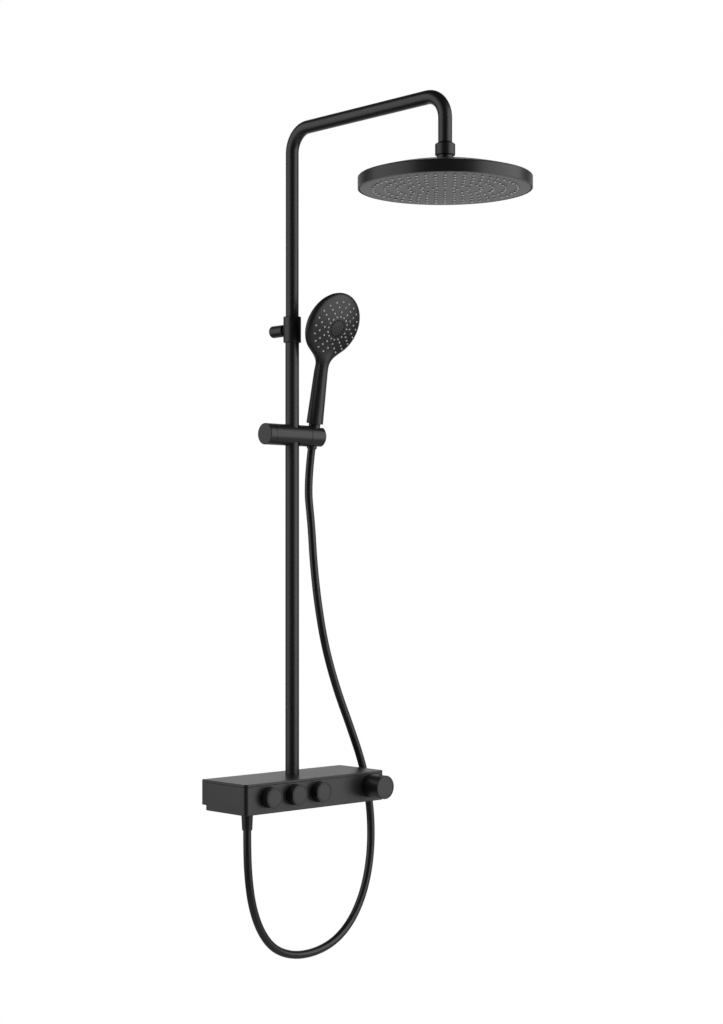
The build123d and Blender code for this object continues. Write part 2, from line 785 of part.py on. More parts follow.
# Swivel nut that holds the ball in the head
nut_lip_low = ball_z + math.sqrt((ball_radius + ball_clearance) ** 2 - nut_lip_radius**2)
with BuildPart() as swivel_nut:
    turn(
        [
            (nut_bore_radius, nut_bottom),
            (nut_radius - edge_break, nut_bottom),
            (nut_radius, nut_bottom + edge_break),
            (nut_radius, nut_top - 2 * edge_break),
            (nut_radius - 2 * edge_break, nut_top),
            (nut_lip_radius, nut_top),
            (nut_lip_radius, nut_lip_low),
            (nut_bore_radius, nut_lip_low),
        ],
        drop_plane,
    )
keep(swivel_nut, "swivel_nut")

# Rain head shell: a flat drum with a shallow domed top and a neck into the nut
rim_top = head_bottom + head_rim
dome_top = rim_top + head_dome
neck_radius = nut_bore_radius - running_fit
neck_top = ball_z - neck_top_drop
dome_foot = head_radius - 2 * edge_break
dome_end = neck_radius + head_neck_flare
dome_middle = (dome_end + dome_foot) / 2
cavity_top = rim_top - head_wall
cavity_ceiling = dome_top - head_top_wall
face_top = head_bottom + face_thickness
with BuildPart() as rain_head_shell:
    with BuildSketch(drop_plane) as section:
        with BuildLine():
            Polyline(
                (regulator_radius, neck_top),
                (neck_radius, neck_top),
                (neck_radius, dome_top + head_neck_flare / 2),
                (dome_end, dome_top),
            )
            ThreePointArc((dome_end, dome_top), (dome_middle, rim_top + head_crown), (dome_foot, rim_top))
            Polyline(
                (dome_foot, rim_top),
                (head_radius, rim_top - 2 * edge_break),
                (head_radius, head_bottom),
                (head_radius - head_wall, head_bottom),
                (head_radius - head_wall, cavity_top),
                (dome_foot - head_wall, cavity_top),
            )
            ThreePointArc(
                (dome_foot - head_wall, cavity_top),
                (dome_middle, rim_top + head_crown - head_top_wall),
                (dome_end, cavity_ceiling),
            )
            Polyline(
                (dome_end, cavity_ceiling),
                (regulator_radius, cavity_ceiling),
                (regulator_radius, neck_top),
            )
        make_face()
    revolve(axis=Axis(drop_plane.origin, drop_plane.y_dir))
    with Locations((0, drop_y, ball_z)):
        Sphere(seat_radius + free_gap, mode=Mode.SUBTRACT)
keep(rain_head_shell, "rain_head_shell")

# Flow regulator pressed into the neck, clear of the ball
regulator_top = ball_z - ball_radius - 2 * free_gap
with BuildPart() as flow_regulator:
    ring(drop_plane, ball_bore_radius, regulator_radius - running_fit, regulator_top - regulator_height,
         regulator_top)
keep(flow_regulator, "flow_regulator")

# Nozzle places on the rain head: evenly spaced rings, each with one more nozzle to a spoke
nozzle_rows = [(nozzle_ring_step * row, nozzle_spokes * row) for row in range(1, nozzle_rings + 1)]
nozzle_mat_radius = nozzle_ring_step * nozzle_rings + 2 * nozzle_radius

# Face plate of the rain head, with a hole for each nozzle
face_edge = head_radius - head_wall - running_fit
with BuildPart() as rain_head_face:
    rod(drop_plane, face_edge, head_bottom, face_top)
    with BuildSketch(Plane(origin=(0, drop_y, head_bottom))) as holes:
        for row_radius, row_count in nozzle_rows:
            with PolarLocations(row_radius, row_count, nozzle_turn):
                Circle(nozzle_radius + running_fit)
    extrude(holes.sketch, amount=face_thickness, mode=Mode.SUBTRACT)
keep(rain_head_face, "rain_head_face")

# Soft nozzle mat behind the face plate
with BuildPart() as rain_nozzles:
    rod(drop_plane, nozzle_mat_radius, face_top, face_top + mat_thickness)
    with BuildSketch(Plane(origin=(0, drop_y, head_bottom - nozzle_proud))) as nubs:
        for row_radius, row_count in nozzle_rows:
            with PolarLocations(row_radius, row_count, nozzle_turn):
                Circle(nozzle_radius)
    extrude(nubs.sketch, amount=nozzle_proud + face_thickness + mat_thickness)
keep(rain_nozzles, "rain_nozzles")

# Gasket between the face plate and the shell
with BuildPart() as rain_head_gasket:
    ring(drop_plane, face_edge - 2 * face_thickness, face_edge, face_top, face_top + mat_thickness)
keep(rain_head_gasket, "rain_head_gasket")

# Guide rings of the hand shower slider, running on the riser
bush_outer = lower_tube_radius + running_fit + bush_wall
with BuildPart() as slider_bushes:
    for level in (slider_z - bush_span, slider_z + bush_span - bush_ring):
        ring(riser_plane, lower_tube_radius + running_fit, bush_outer, level, level + bush_ring)
keep(slider_bushes, "slider_bushes")

# Slider body: a level cylinder with the riser passing through it
clamp_pad_front = lower_tube_radius + free_gap
clamp_pad_back = clamp_pad_front + clamp_pad_length
lock_screw_tip = clamp_pad_back + clamp_travel + free_gap
pivot_start = slider_right - pivot_length
with BuildPart() as slider_body:
    rod(slider_plane, slider_radius, slider_left, slider_right)
    rod(riser_plane, bush_outer + running_fit, slider_z - slider_radius, slider_z + slider_radius,
        Mode.SUBTRACT)
    rod(slider_plane, clamp_pad_radius + running_fit, -lock_screw_tip, 0, Mode.SUBTRACT)
    rod(slider_plane, lock_screw_radius + free_gap, slider_left, -lock_screw_tip, Mode.SUBTRACT)
    rod(slider_plane, pivot_radius + running_fit, pivot_start, slider_right, Mode.SUBTRACT)
keep(slider_body, "slider_body")

# Lock knob on the left end with its screw, and the pad that it presses on the riser
lock_right = slider_left - lock_knob_gap
lock_left = lock_right - lock_knob_length
with BuildPart() as lock_knob:
    turn(
        [
            (lock_screw_radius + running_fit, lock_right),
            (slider_radius, lock_right),
            (slider_radius, lock_left + edge_break),
            (slider_radius - edge_break, lock_left),
            (0, lock_left),
            (0, lock_left + lock_knob_floor),
            (lock_screw_radius + running_fit, lock_left + lock_knob_floor),
        ],
        slider_plane,
    )
keep(lock_knob, "lock_knob")

with BuildPart() as lock_screw:
    rod(slider_plane, lock_screw_radius, lock_left + lock_knob_floor, -lock_screw_tip)
keep(lock_screw, "lock_screw")

with BuildPart() as clamp_pad:
    rod(slider_plane, clamp_pad_radius, -clamp_pad_back, -clamp_pad_front)
keep(clamp_pad, "clamp_pad")

# Pivot pin between the slider body and the cradle
with BuildPart() as cradle_pin:
    rod(slider_plane, pivot_radius, pivot_start, cradle_left + pivot_radius - free_gap)
keep(cradle_pin, "cradle_pin")

# Cradle: the end of the cylinder that turns, with a tapered seat for the hose nut and a slot for the hose
seat_slope = (hose_nut_radius - hose_nut_end_radius) / (grip_start + upper_nut_tail)
seat_reach = 2 * cradle_radius
seat_middle = hose_nut_end_radius + seat_slope * upper_nut_tail + cradle_clearance
with BuildPart() as cradle:
    turn(
        [
            (0, cradle_left),
            (cradle_radius, cradle_left),
            (cradle_radius, cradle_right - 2 * edge_break),
            (cradle_radius - 2 * edge_break, cradle_right),
            (0, cradle_right),
        ],
        slider_plane,
    )
    rod(slider_plane, pivot_radius + running_fit, cradle_left, cradle_left + pivot_radius, Mode.SUBTRACT)
    turn(
        [
            (0, -seat_reach),
            (seat_middle - seat_slope * seat_reach, -seat_reach),
            (seat_middle + seat_slope * seat_reach, seat_reach),
            (0, seat_reach),
        ],
        grip_plane,
        Mode.SUBTRACT,
    )
    with BuildSketch(grip_plane) as slot:
        with Locations((cradle_length, 0)):
            Rectangle(2 * cradle_length, 2 * seat_reach)
    extrude(slot.sketch, amount=hose_radius + free_gap, both=True, mode=Mode.SUBTRACT)
keep(cradle, "cradle")

# Hand shower shell: a tapered grip that widens into a round head with a rounded back. A slanted channel leads
# the water from the grip's bore to the chamber behind the nozzles
head_low = shower_head_along - shower_head_radius
neck_top_along = head_low + shower_flare_rise
flat_edge = shower_head_radius - shower_head_round
back_bulge = shower_head_back - shower_head_rim
back_curve = (shower_head_radius**2 + back_bulge**2) / (2 * back_bulge)
back_middle = shower_head_radius / 2
back_middle_depth = shower_head_back - back_curve + math.sqrt(back_curve**2 - back_middle**2)
shower_mat_back = -shower_face_thickness - mat_thickness
channel_plane = spray_plane.offset((shower_mat_back - shower_cavity) / 2)
channel_along = grip_plane.to_local_coords(channel_plane.origin).Y
channel_low = (grip_neck - shower_channel_radius - channel_along) / math.cos(face_lean - grip_lean)
channel_high = shower_channel_radius - shower_face_radius
with BuildPart() as handset_shell:
    turn(
        [
            (0, grip_start),
            (grip_end_radius - edge_break, grip_start),
            (grip_end_radius, grip_start + edge_break),
            (grip_neck_radius, grip_neck),
            (0, grip_neck),
        ],
        grip_plane,
    )
    with BuildSketch(head_turning) as section:
        with BuildLine():
            Polyline((0, -shower_head_back), (0, 0), (flat_edge, 0))
            JernArc((flat_edge, 0), (1, 0), shower_head_round, -90)
            Line((shower_head_radius, -shower_head_round), (shower_head_radius, -shower_head_rim))
            ThreePointArc(
                (shower_head_radius, -shower_head_rim),
                (back_middle, -back_middle_depth),
                (0, -shower_head_back),
            )
        make_face()
    revolve(axis=Axis(head_turning.origin, head_turning.y_dir))
    for along, wide, deep, forward in (
        (grip_neck, grip_neck_radius, grip_neck_radius, 0),
        (head_low, shower_neck_width, shower_neck_depth, shower_neck_forward),
        (neck_top_along, shower_flare_width, shower_flare_depth, shower_flare_forward),
    ):
        neck_place = grip_plane.from_local_coords((0, along, forward))
        with BuildSketch(Plane(origin=neck_place, x_dir=(1, 0, 0), z_dir=grip_plane.y_dir)):
            Ellipse(wide, deep)
    loft()
    rod(grip_plane, grip_bore_radius, grip_start, grip_neck + free_gap, Mode.SUBTRACT)
    rod(channel_plane, shower_channel_radius, channel_low, channel_high, Mode.SUBTRACT)
    rod(spray_turning, shower_face_radius + running_fit, -shower_cavity, spray_crown, Mode.SUBTRACT)
keep(handset_shell, "handset_shell")

# Spray face of the hand shower: a crowned disc with a hole for each nozzle and a ring of open jets
crown_curve = (shower_face_radius**2 + spray_crown**2) / (2 * spray_crown)
crown_middle = shower_face_radius / 2
crown_middle_height = spray_crown - crown_curve + math.sqrt(crown_curve**2 - crown_middle**2)
shower_rows = list(zip(shower_ring_radii, shower_ring_counts, shower_ring_starts, shower_ring_sweeps))
with BuildPart() as handset_face:
    with BuildSketch(spray_turning) as section:
        with BuildLine():
            Polyline(
                (0, spray_crown),
                (0, -shower_face_thickness),
                (shower_face_radius, -shower_face_thickness),
                (shower_face_radius, 0),
            )
            ThreePointArc((shower_face_radius, 0), (crown_middle, crown_middle_height), (0, spray_crown))
        make_face()
    revolve(axis=Axis(spray_turning.origin, spray_turning.y_dir))
    with BuildSketch(spray_plane.offset(-shower_face_thickness)) as holes:
        for row in shower_rows:
            with PolarLocations(*row):
                Circle(shower_nozzle_radius + running_fit)
        with PolarLocations(shower_jet_ring, shower_jet_count):
            Circle(shower_jet_radius)
    extrude(holes.sketch, amount=shower_face_thickness + spray_crown, mode=Mode.SUBTRACT)
keep(handset_face, "handset_face")

# Soft nozzles of the hand shower on one mat, each as long as the crown is high at its ring
with BuildPart() as handset_nozzles:
    ring(spray_turning, shower_jet_ring + 2 * shower_jet_radius, shower_face_radius, shower_mat_back,
         -shower_face_thickness)
    for row in shower_rows:
        row_height = spray_crown - crown_curve + math.sqrt(crown_curve**2 - row[0] ** 2)
        with BuildSketch(spray_plane.offset(shower_mat_back)) as nubs:
            with PolarLocations(*row):
                Circle(shower_nozzle_radius)
        extrude(nubs.sketch, amount=row_height + shower_nozzle_proud - shower_mat_back)
keep(handset_nozzles, "handset_nozzles")

# Water core of the hand shower, with the threaded stub for the hose nut
stub_bottom = grip_start - outlet_thread_length
core_collar_top = grip_start + core_collar
with BuildPart() as handset_core:
    ring(grip_plane, core_bore_radius, outlet_thread_radius, stub_bottom, grip_start)
    ring(grip_plane, core_bore_radius, grip_bore_radius - running_fit, grip_start, core_collar_top)
    ring(grip_plane, core_bore_radius, core_radius, grip_start, grip_neck)
keep(handset_core, "handset_core")


def hose_nut_outline(top, length):
    """Tapered nut: threaded from the top, bored for the hose's water way below, with a rounded lower end."""
    bottom = top - length
    return [
        (hose_bore_radius, bottom),
        (hose_nut_end_radius - edge_break, bottom),
        (hose_nut_end_radius, bottom + edge_break),
        (hose_nut_radius, top - edge_break),
        (hose_nut_radius - edge_break, top),
        (outlet_thread_radius + running_fit, top),
        (outlet_thread_radius + running_fit, top - outlet_thread_length - free_gap),
        (hose_bore_radius, top - outlet_thread_length - free_gap),
    ]


# Hose nuts at the hand shower and under the shelf
upper_nut_top = grip_start - running_fit
with BuildPart() as hose_nut_upper:
    turn(hose_nut_outline(upper_nut_top, upper_nut_top + upper_nut_tail), grip_plane)
keep(hose_nut_upper, "hose_nut_upper")

lower_nut_top = housing_bottom - free_gap
with BuildPart() as hose_nut_lower:
    turn(hose_nut_outline(lower_nut_top, hose_nut_length), outlet_plane)
keep(hose_nut_lower, "hose_nut_lower")

# Threaded outlet under the shelf
with BuildPart() as hose_outlet:
    ring(outlet_plane, hose_bore_radius, outlet_thread_radius, lower_nut_top - outlet_thread_length,
         -manifold_half_height + outlet_thread_length / 2)
keep(hose_outlet, "hose_outlet")


def hose_place(point):
    """A hose point, given across from the riser, back from the riser and up from the shelf top."""
    across, back, up = point
    return Vector(across, riser_y + back, shelf_top_z + up)


# Hose route from the hand shower nut to the nut under the shelf
hose_top = grip_plane.from_local_coords((0, -upper_nut_tail, 0))
hose_end = Vector(outlet_x, riser_y, lower_nut_top - hose_nut_length)
hose_route = [
    hose_top,
    grip_plane.from_local_coords((0, -upper_nut_tail - hose_lead, 0)),
    *[hose_place(point) for point in hose_points],
    hose_end - Vector(0, 0, hose_foot),
    hose_end,
]


def bend_radii(points):
    """Largest bend at each corner: a share of the shorter run over the tangent of half the turn."""
    radii = []
    for before, corner, after in zip(points, points[1:], points[2:]):
        run_in = corner - before
        run_out = after - corner
        half_turn = math.radians(run_in.get_angle(run_out)) / 2
        radii.append(bend_share * min(run_in.length, run_out.length) / math.tan(half_turn))
    return radii


def hose_piece(name, points, radii):
    """One stretch of hose: a tube along straight runs joined by tangent arcs."""
    with BuildPart() as piece:
        with BuildLine() as path:
            if len(points) > 2:
                FilletPolyline(*points, radius=radii)
            else:
                Line(*points)
        with BuildSketch(Plane(origin=path.line @ 0, z_dir=path.line % 0)):
            Circle(hose_radius)
            Circle(hose_bore_radius, mode=Mode.SUBTRACT)
        sweep(path=path.line)
    section_area = math.pi * (hose_radius**2 - hose_bore_radius**2)
    length = sum(edge.length for edge in path.edges())
    share = piece.part.volume / (section_area * length)
    print(name, "length", round(length, 1), "volume share", round(share, 4))
    keep(piece, name)


# The hose is cut in the middle of a run wherever it passes from one moving piece to the next
route_radii = bend_radii(hose_route)
print("hose radii", [round(radius) for radius in route_radii])
hose_cuts = [0, hose_runs_with_cradle, hose_runs_with_slider]
hose_middles = [(hose_route[cut] + hose_route[cut + 1]) / 2 for cut in hose_cuts]
hose_names = ("hose_at_grip", "hose_at_cradle", "hose_at_slider", "hose_loop")
hose_ends = [hose_top] + hose_middles + [hose_end]
corner_starts = [0] + [cut + 1 for cut in hose_cuts]
corner_stops = [cut + 1 for cut in hose_cuts] + [len(hose_route) - 1]
for index, name in enumerate(hose_names):
    first = max(1, corner_starts[index])
    last = corner_stops[index]
    corners = hose_route[first:last]
    hose_piece(name, [hose_ends[index], *corners, hose_ends[index + 1]], route_radii[first - 1:last - 1])
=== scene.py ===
"""Dresses the packed shower column: hose, spray faces, hand shower, springs, finishes, light and camera."""

import json
import math

import bmesh
import bpy
import numpy as np
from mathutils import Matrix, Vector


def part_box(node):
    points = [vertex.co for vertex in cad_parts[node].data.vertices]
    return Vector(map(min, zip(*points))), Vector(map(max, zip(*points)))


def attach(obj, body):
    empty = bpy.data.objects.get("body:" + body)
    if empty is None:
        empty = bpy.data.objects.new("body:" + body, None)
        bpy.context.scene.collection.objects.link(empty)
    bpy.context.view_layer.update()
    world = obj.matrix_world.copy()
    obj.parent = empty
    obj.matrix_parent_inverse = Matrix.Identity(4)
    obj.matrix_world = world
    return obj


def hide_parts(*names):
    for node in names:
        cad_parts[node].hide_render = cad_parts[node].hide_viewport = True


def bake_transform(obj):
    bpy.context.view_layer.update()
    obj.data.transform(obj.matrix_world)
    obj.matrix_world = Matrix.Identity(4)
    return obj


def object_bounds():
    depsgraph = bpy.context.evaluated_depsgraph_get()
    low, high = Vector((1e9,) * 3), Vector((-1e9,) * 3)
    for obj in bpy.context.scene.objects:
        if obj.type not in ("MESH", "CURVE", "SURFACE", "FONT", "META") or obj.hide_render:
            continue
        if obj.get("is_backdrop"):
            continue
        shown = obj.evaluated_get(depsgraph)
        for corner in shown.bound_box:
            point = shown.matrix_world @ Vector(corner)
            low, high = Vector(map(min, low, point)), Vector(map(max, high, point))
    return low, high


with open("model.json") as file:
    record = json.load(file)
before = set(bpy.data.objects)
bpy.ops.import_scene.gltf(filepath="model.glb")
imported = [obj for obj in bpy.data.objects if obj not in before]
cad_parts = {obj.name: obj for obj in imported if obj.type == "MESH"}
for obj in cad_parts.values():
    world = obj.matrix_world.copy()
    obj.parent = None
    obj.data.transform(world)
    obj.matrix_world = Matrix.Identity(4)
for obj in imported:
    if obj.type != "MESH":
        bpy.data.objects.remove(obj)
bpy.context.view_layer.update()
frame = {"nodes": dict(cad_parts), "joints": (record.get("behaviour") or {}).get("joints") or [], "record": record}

bl_info = {
    "name": "Rain shower column",
    "version": (1, 0, 0),
    "blender": (4, 5, 0),
    "location": "3D View > Sidebar > Shower",
    "description": "Makes the hose, hand shower, spray faces and finishes of a rain shower column",
    "category": "Add Mesh",
}

joints = {joint["name"]: joint for joint in frame["joints"]}
slot_of = {part["node"]: part["material_slot"] for part in frame["record"]["subparts"]}

# Hose route from the hand shower's nut to the nut under the shelf, in metres.
# A point is across and back from the riser, and up from the shelf's top.
HOSE_ROUTE = [
    (0.0585, 0.0155, 0.4370),
    (0.0655, 0.0175, 0.3670),
    (0.0765, 0.0180, 0.2940),
    (0.0935, 0.0180, 0.2180),
    (0.1195, 0.0165, 0.1430),
    (0.1515, 0.0140, 0.0715),
    (0.1805, 0.0125, 0.0030),
    (0.1975, 0.0125, -0.0630),
    (0.2020, 0.0120, -0.1255),
    (0.1950, 0.0105, -0.1830),
    (0.1765, 0.0085, -0.2345),
    (0.1455, 0.0060, -0.2775),
    (0.1040, 0.0040, -0.3065),
    (0.0535, 0.0025, -0.3190),
    (0.0020, 0.0015, -0.3170),
    (-0.0425, 0.0008, -0.2990),
    (-0.0730, 0.0004, -0.2635),
    (-0.0915, 0.0001, -0.2175),
    (-0.0995, 0.0000, -0.1680),
]

# The hose's stretches from the hand shower down, and the route's runs in whose middle the first three end
HOSE_STRETCHES = ("grip", "cradle", "slider", "rise", "loop")
HOSE_CUT_RUNS = (0, 1, 3)

# Rings of soft nozzles on the hand shower: radius, count, and the start and step of their angle in degrees
HAND_NOZZLE_RINGS = [
    (0.0207, 16, 0.0, 22.5),
    (0.0290, 12, 0.0, 30.0),
    (0.0377, 16, 11.25, 22.5),
    (0.0463, 19, -72.0, 18.0),
]

# How deep nozzles and the discs of painted shade at seats and jets are sunk into their face,
# and the height of a nozzle's foot
SINK = 0.001
NOZZLE_FOOT = 0.0004

# Steps of the meshes
FLOOR_SIDES = 96
RAIN_PLATE_SIDES = 160
RAIN_PLATE_RINGS = 24
RAIN_EDGE_STEPS = 6
RAIN_NOZZLE_SIDES = 12
HAND_SKIN_ROWS = 260
HAND_SKIN_COLUMNS = 176
HAND_DEPTH_STEPS = 600
HAND_PLATE_SIDES = 180
HAND_PLATE_RINGS = 40
HAND_NOZZLE_SIDES = 10

# Looks of the finishes, whose colours are settings. Grain is the noise's scale per metre, edge a rounding.
FINISH_LOOKS = {
    "black_metal": dict(colour="coat", rough=0.36, spread=0.04, grain=2600, bump=0.12, edge=0.0007),
    "brushed_wall": dict(
        colour="coat", rough=0.36, spread=0.04, grain=420, bump=0.35, stretch=(0.03, 0.03, 1), edge=0.0007
    ),
    "black_plastic": dict(colour="plastic", rough=0.38, spread=0.04, grain=2100, bump=0.08),
    "hose_black": dict(colour="hose", rough=0.30, spread=0.03, grain=1500, bump=0.05),
    "silicone_grey": dict(colour="silicone", rough=0.55, spread=0.06, grain=3000, bump=0.10),
    "brass": dict(
        colour="brass", rough=0.30, spread=0.08, grain=900, bump=0.10, metal=1.0, stretch=(1, 9, 1)
    ),
    "steel": dict(
        colour="steel", rough=0.28, spread=0.08, grain=900, bump=0.10, metal=1.0, stretch=(1, 1, 9)
    ),
    "white_plastic": dict(colour="pale", rough=0.45, spread=0.05, grain=1800, bump=0.08),
    # Also the finish of the discs of painted shade at rain nozzle seats and hand shower jets
    "seal_rubber": dict(colour="rubber", rough=0.85, spread=0.05, grain=1800, bump=0.15, specular=0.1),
}

# Nodes with a look of their own in place of their material slot's
OWN_LOOKS = {"rain_head_shell": "brushed_wall"}


def length_property(name, description, default):
    """A size in metres that a user can change."""
    return bpy.props.FloatProperty(
        name=name, description=description, default=default, unit="LENGTH", precision=4
    )


def angle_property(name, description, degrees):
    """An angle, given in degrees, that a user can change."""
    return bpy.props.FloatProperty(
        name=name, description=description, default=math.radians(degrees), subtype="ANGLE"
    )


def number_property(name, description, default):
    """A plain number that a user can change."""
    return bpy.props.FloatProperty(name=name, description=description, default=default)


def count_property(name, description, default, least):
    """A whole number that a user can change."""
    return bpy.props.IntProperty(name=name, description=description, default=default, min=least)


def colour_property(name, description, default):
    """A colour that a user can change."""
    return bpy.props.FloatVectorProperty(
        name=name, description=description, default=default, size=3, subtype="COLOR", min=0, max=1
    )


class HoseSizes(bpy.types.PropertyGroup):
    """Sizes of the hose."""

    radius: length_property("Radius", "Outside radius of the hose", 0.007)
    upper_tail: length_property("Upper nut tail", "From the cradle's middle to the upper nut's end", 0.022)
    lead: length_property("Lead", "Straight run below the upper nut", 0.065)
    foot: length_property("Foot", "Straight run below the nut under the shelf", 0.0346)
    still_level: length_property("Still level", "Over the shelf's top, where the rise meets the loop", -0.03)
    still_across: length_property("Still across", "Across from the riser, where following starts", 0.1665)
    follow_reach: length_property("Follow reach", "From there to where all moves with the slider", 0.283)
    follow_slant: angle_property("Follow slant", "Lean of that way from upright", 60)
    sag: number_property("Sag", "Where the loop's bottom is on the way from still to moving", 0.25)
    tongue: number_property("Tongue", "Share of the radius that reaches into the stretch above", 0.92)
    sides: count_property("Sides", "Faces around the hose", 40, 8)
    steps: count_property("Steps", "Rings between two route points", 14, 4)


class RainFaceSizes(bpy.types.PropertyGroup):
    """Sizes of the rain head's face and its soft nozzles."""

    edge_gap: length_property("Edge gap", "Groove between the face and the head's wall", 0.0011)
    edge_round: length_property("Edge round", "Rounding of the face's edge", 0.0009)
    ring_step: length_property("Ring step", "Distance between two rings of nozzles", 0.0193)
    rings: count_property("Rings", "Rings of nozzles", 6, 1)
    spokes: count_property("Spokes", "Nozzles in the first ring", 8, 3)
    turn: angle_property("Turn", "Where each ring starts", -0.8)
    nub_radius: length_property("Nub radius", "Radius of a nozzle", 0.0021)
    nub_height: length_property("Nub height", "How far a nozzle stands out of the face", 0.0017)
    # The dark seat round a nozzle is a near-black disc of painted shade at the nozzle's foot
    seat_shade_radius: length_property("Seat radius", "Radius of the dark seat round a nozzle", 0.0033)


class HandShowerSizes(bpy.types.PropertyGroup):
    """Sizes of the hand shower, along its grip from the middle of the cradle."""

    grip_start: length_property("Grip start", "Lower end of the grip", 0.023)
    grip_end_radius: length_property("Grip end radius", "Radius at the lower end of the grip", 0.0148)
    neck_along: length_property("Neck", "Where the grip is thinnest", 0.1300)
    neck_radius: length_property("Neck radius", "Radius where the grip is thinnest", 0.0117)
    root_along: length_property("Root", "Where the grip ends inside the head", 0.1405)
    root_blend: length_property("Root blend", "Softness of the grip's end inside the head", 0.0278)
    head_along: length_property("Head along", "Middle of the head", 0.1948)
    head_forward: length_property("Head forward", "How far the head's face stands forward", 0.0296)
    head_radius: length_property("Head radius", "Radius of the head", 0.0594)
    head_rim: length_property("Rim depth", "Depth of the head at its rim, at mid height", 0.0166)
    head_back: length_property("Back depth", "Depth of the head in its middle", 0.0200)
    back_tilt: number_property("Back tilt", "How much deeper the back gets towards the grip", 0.034)
    head_lean: angle_property("Head lean", "Tilt of the face against the grip", 13.7)
    edge_blend: length_property("Edge blend", "Softness of the front of the head's rim", 0.0090)
    back_blend: length_property("Back blend", "Softness of the back of the head's rim", 0.0032)
    neck_blend: length_property("Neck blend", "Softness of the flare between grip and head", 0.0267)
    crown: length_property("Crown", "Height of the face in the middle of the spray", 0.0008)
    crown_radius: length_property("Crown radius", "Radius at which the crown has dropped", 0.0465)
    crown_drop: length_property("Crown drop", "How much the crown has dropped there", 0.0054)
    spray_drop: length_property("Spray drop", "How far the spray's middle is below the head's middle", 0.0018)
    face_radius: length_property("Face radius", "Radius of the spray plate", 0.0488)
    face_margin: length_property("Face margin", "Least distance from the spray plate to the rim", 0.0020)
    face_proud: length_property("Face proud", "How far the spray plate stands out of the head", 0.0004)
    nub_radius: length_property("Nub radius", "Radius of a soft nozzle", 0.0013)
    nub_height: length_property("Nub height", "How far a soft nozzle stands out", 0.0013)
    jet_ring: length_property("Jet ring", "Radius of the ring of open jets", 0.0145)
    jet_count: count_property("Jets", "Open jets in their ring", 16, 1)
    # An open jet's dark mouth is a near-black disc of painted shade in place of its hole
    jet_shade_radius: length_property("Jet radius", "Radius of an open jet's dark mouth", 0.0017)


class Finishes(bpy.types.PropertyGroup):
    """Colours of the finishes."""

    coat: colour_property("Coat", "Matte coating on metal", (0.013, 0.013, 0.0134))
    plastic: colour_property("Plastic", "Moulded plastic", (0.013, 0.013, 0.0134))
    hose: colour_property("Hose", "Skin of the hose", (0.011, 0.011, 0.0115))
    silicone: colour_property("Silicone", "Soft nozzles", (0.82, 0.82, 0.81))
    brass: colour_property("Brass", "Machined brass", (0.72, 0.56, 0.30))
    steel: colour_property("Steel", "Plain steel", (0.60, 0.60, 0.60))
    pale: colour_property("Pale plastic", "Natural engineering plastic", (0.78, 0.78, 0.76))
    # Near-black, for real seals and for the painted shade at rain nozzle seats and hand shower jets
    rubber: colour_property("Rubber", "Seals and the dark seats of nozzles", (0.006, 0.006, 0.006))


class StageSizes(bpy.types.PropertyGroup):
    """Camera, floor and lights."""

    camera_place: bpy.props.FloatVectorProperty(
        name="Camera", description="Place of the camera", default=(-2.1698, -2.5282, 0.4069), unit="LENGTH"
    )
    camera_turn: angle_property("Camera turn", "Turn of the camera from the front", 43.304)
    lens: bpy.props.FloatProperty(name="Lens", description="Focal length", default=66.42, unit="CAMERA")
    shift: number_property("Shift", "Upward shift of the picture", 0.0412)
    floor_z: length_property("Floor", "Height of the floor", -0.95)
    floor_middle: bpy.props.FloatVectorProperty(
        name="Floor middle", description="Middle of the floor", default=(0.30, -0.70), size=2, unit="LENGTH"
    )
    floor_radius: length_property("Floor radius", "Radius of the floor", 2.2)
    floor_colour: colour_property("Floor colour", "Pale floor", (0.82, 0.82, 0.82))
    box_distance: length_property("Softbox distance", "From the column to each softbox", 2.2)
    box_turn: angle_property("Softbox turn", "How far each softbox comes forward", 15)
    box_width: length_property("Softbox width", "Width of a softbox", 2.8)
    box_height: length_property("Softbox height", "Height of a softbox", 3.2)
    box_raise: length_property("Softbox raise", "Height of a softbox's middle", 0.95)
    left_level: number_property("Left level", "Brightness of the left softbox", 1.3)
    right_level: number_property("Right level", "Brightness of the right softbox", 2.0)
    ambient: number_property("Ambient", "Soft light from all round", 0.022)
    backdrop: number_property("Backdrop", "Backdrop's share in reflections", 0.75)
    backdrop_edge: number_property("Backdrop edge", "Cosine from the line of sight where it begins", 0.62)
    backdrop_core: number_property("Backdrop core", "Cosine from the line of sight where it is full", 0.98)


def unit(vectors):
    """Each vector divided by its own length."""
    return vectors / np.linalg.norm(vectors, axis=-1, keepdims=True)


def turned(profile, origins, across, up, out, sides):
    """Profiles turned about an axis: origin + r cos(a) across + r sin(a) up + z out, for each origin."""
    angle = np.linspace(0, 2 * np.pi, sides, endpoint=False)
    radius, height = np.asarray(profile, float).T
    circle = np.cos(angle)[:, None] * across[:, None] + np.sin(angle)[:, None] * up[:, None]
    rise = height[:, None, None] * out[:, None, None]
    return origins[:, None, None] + radius[:, None, None] * circle[:, None] + rise


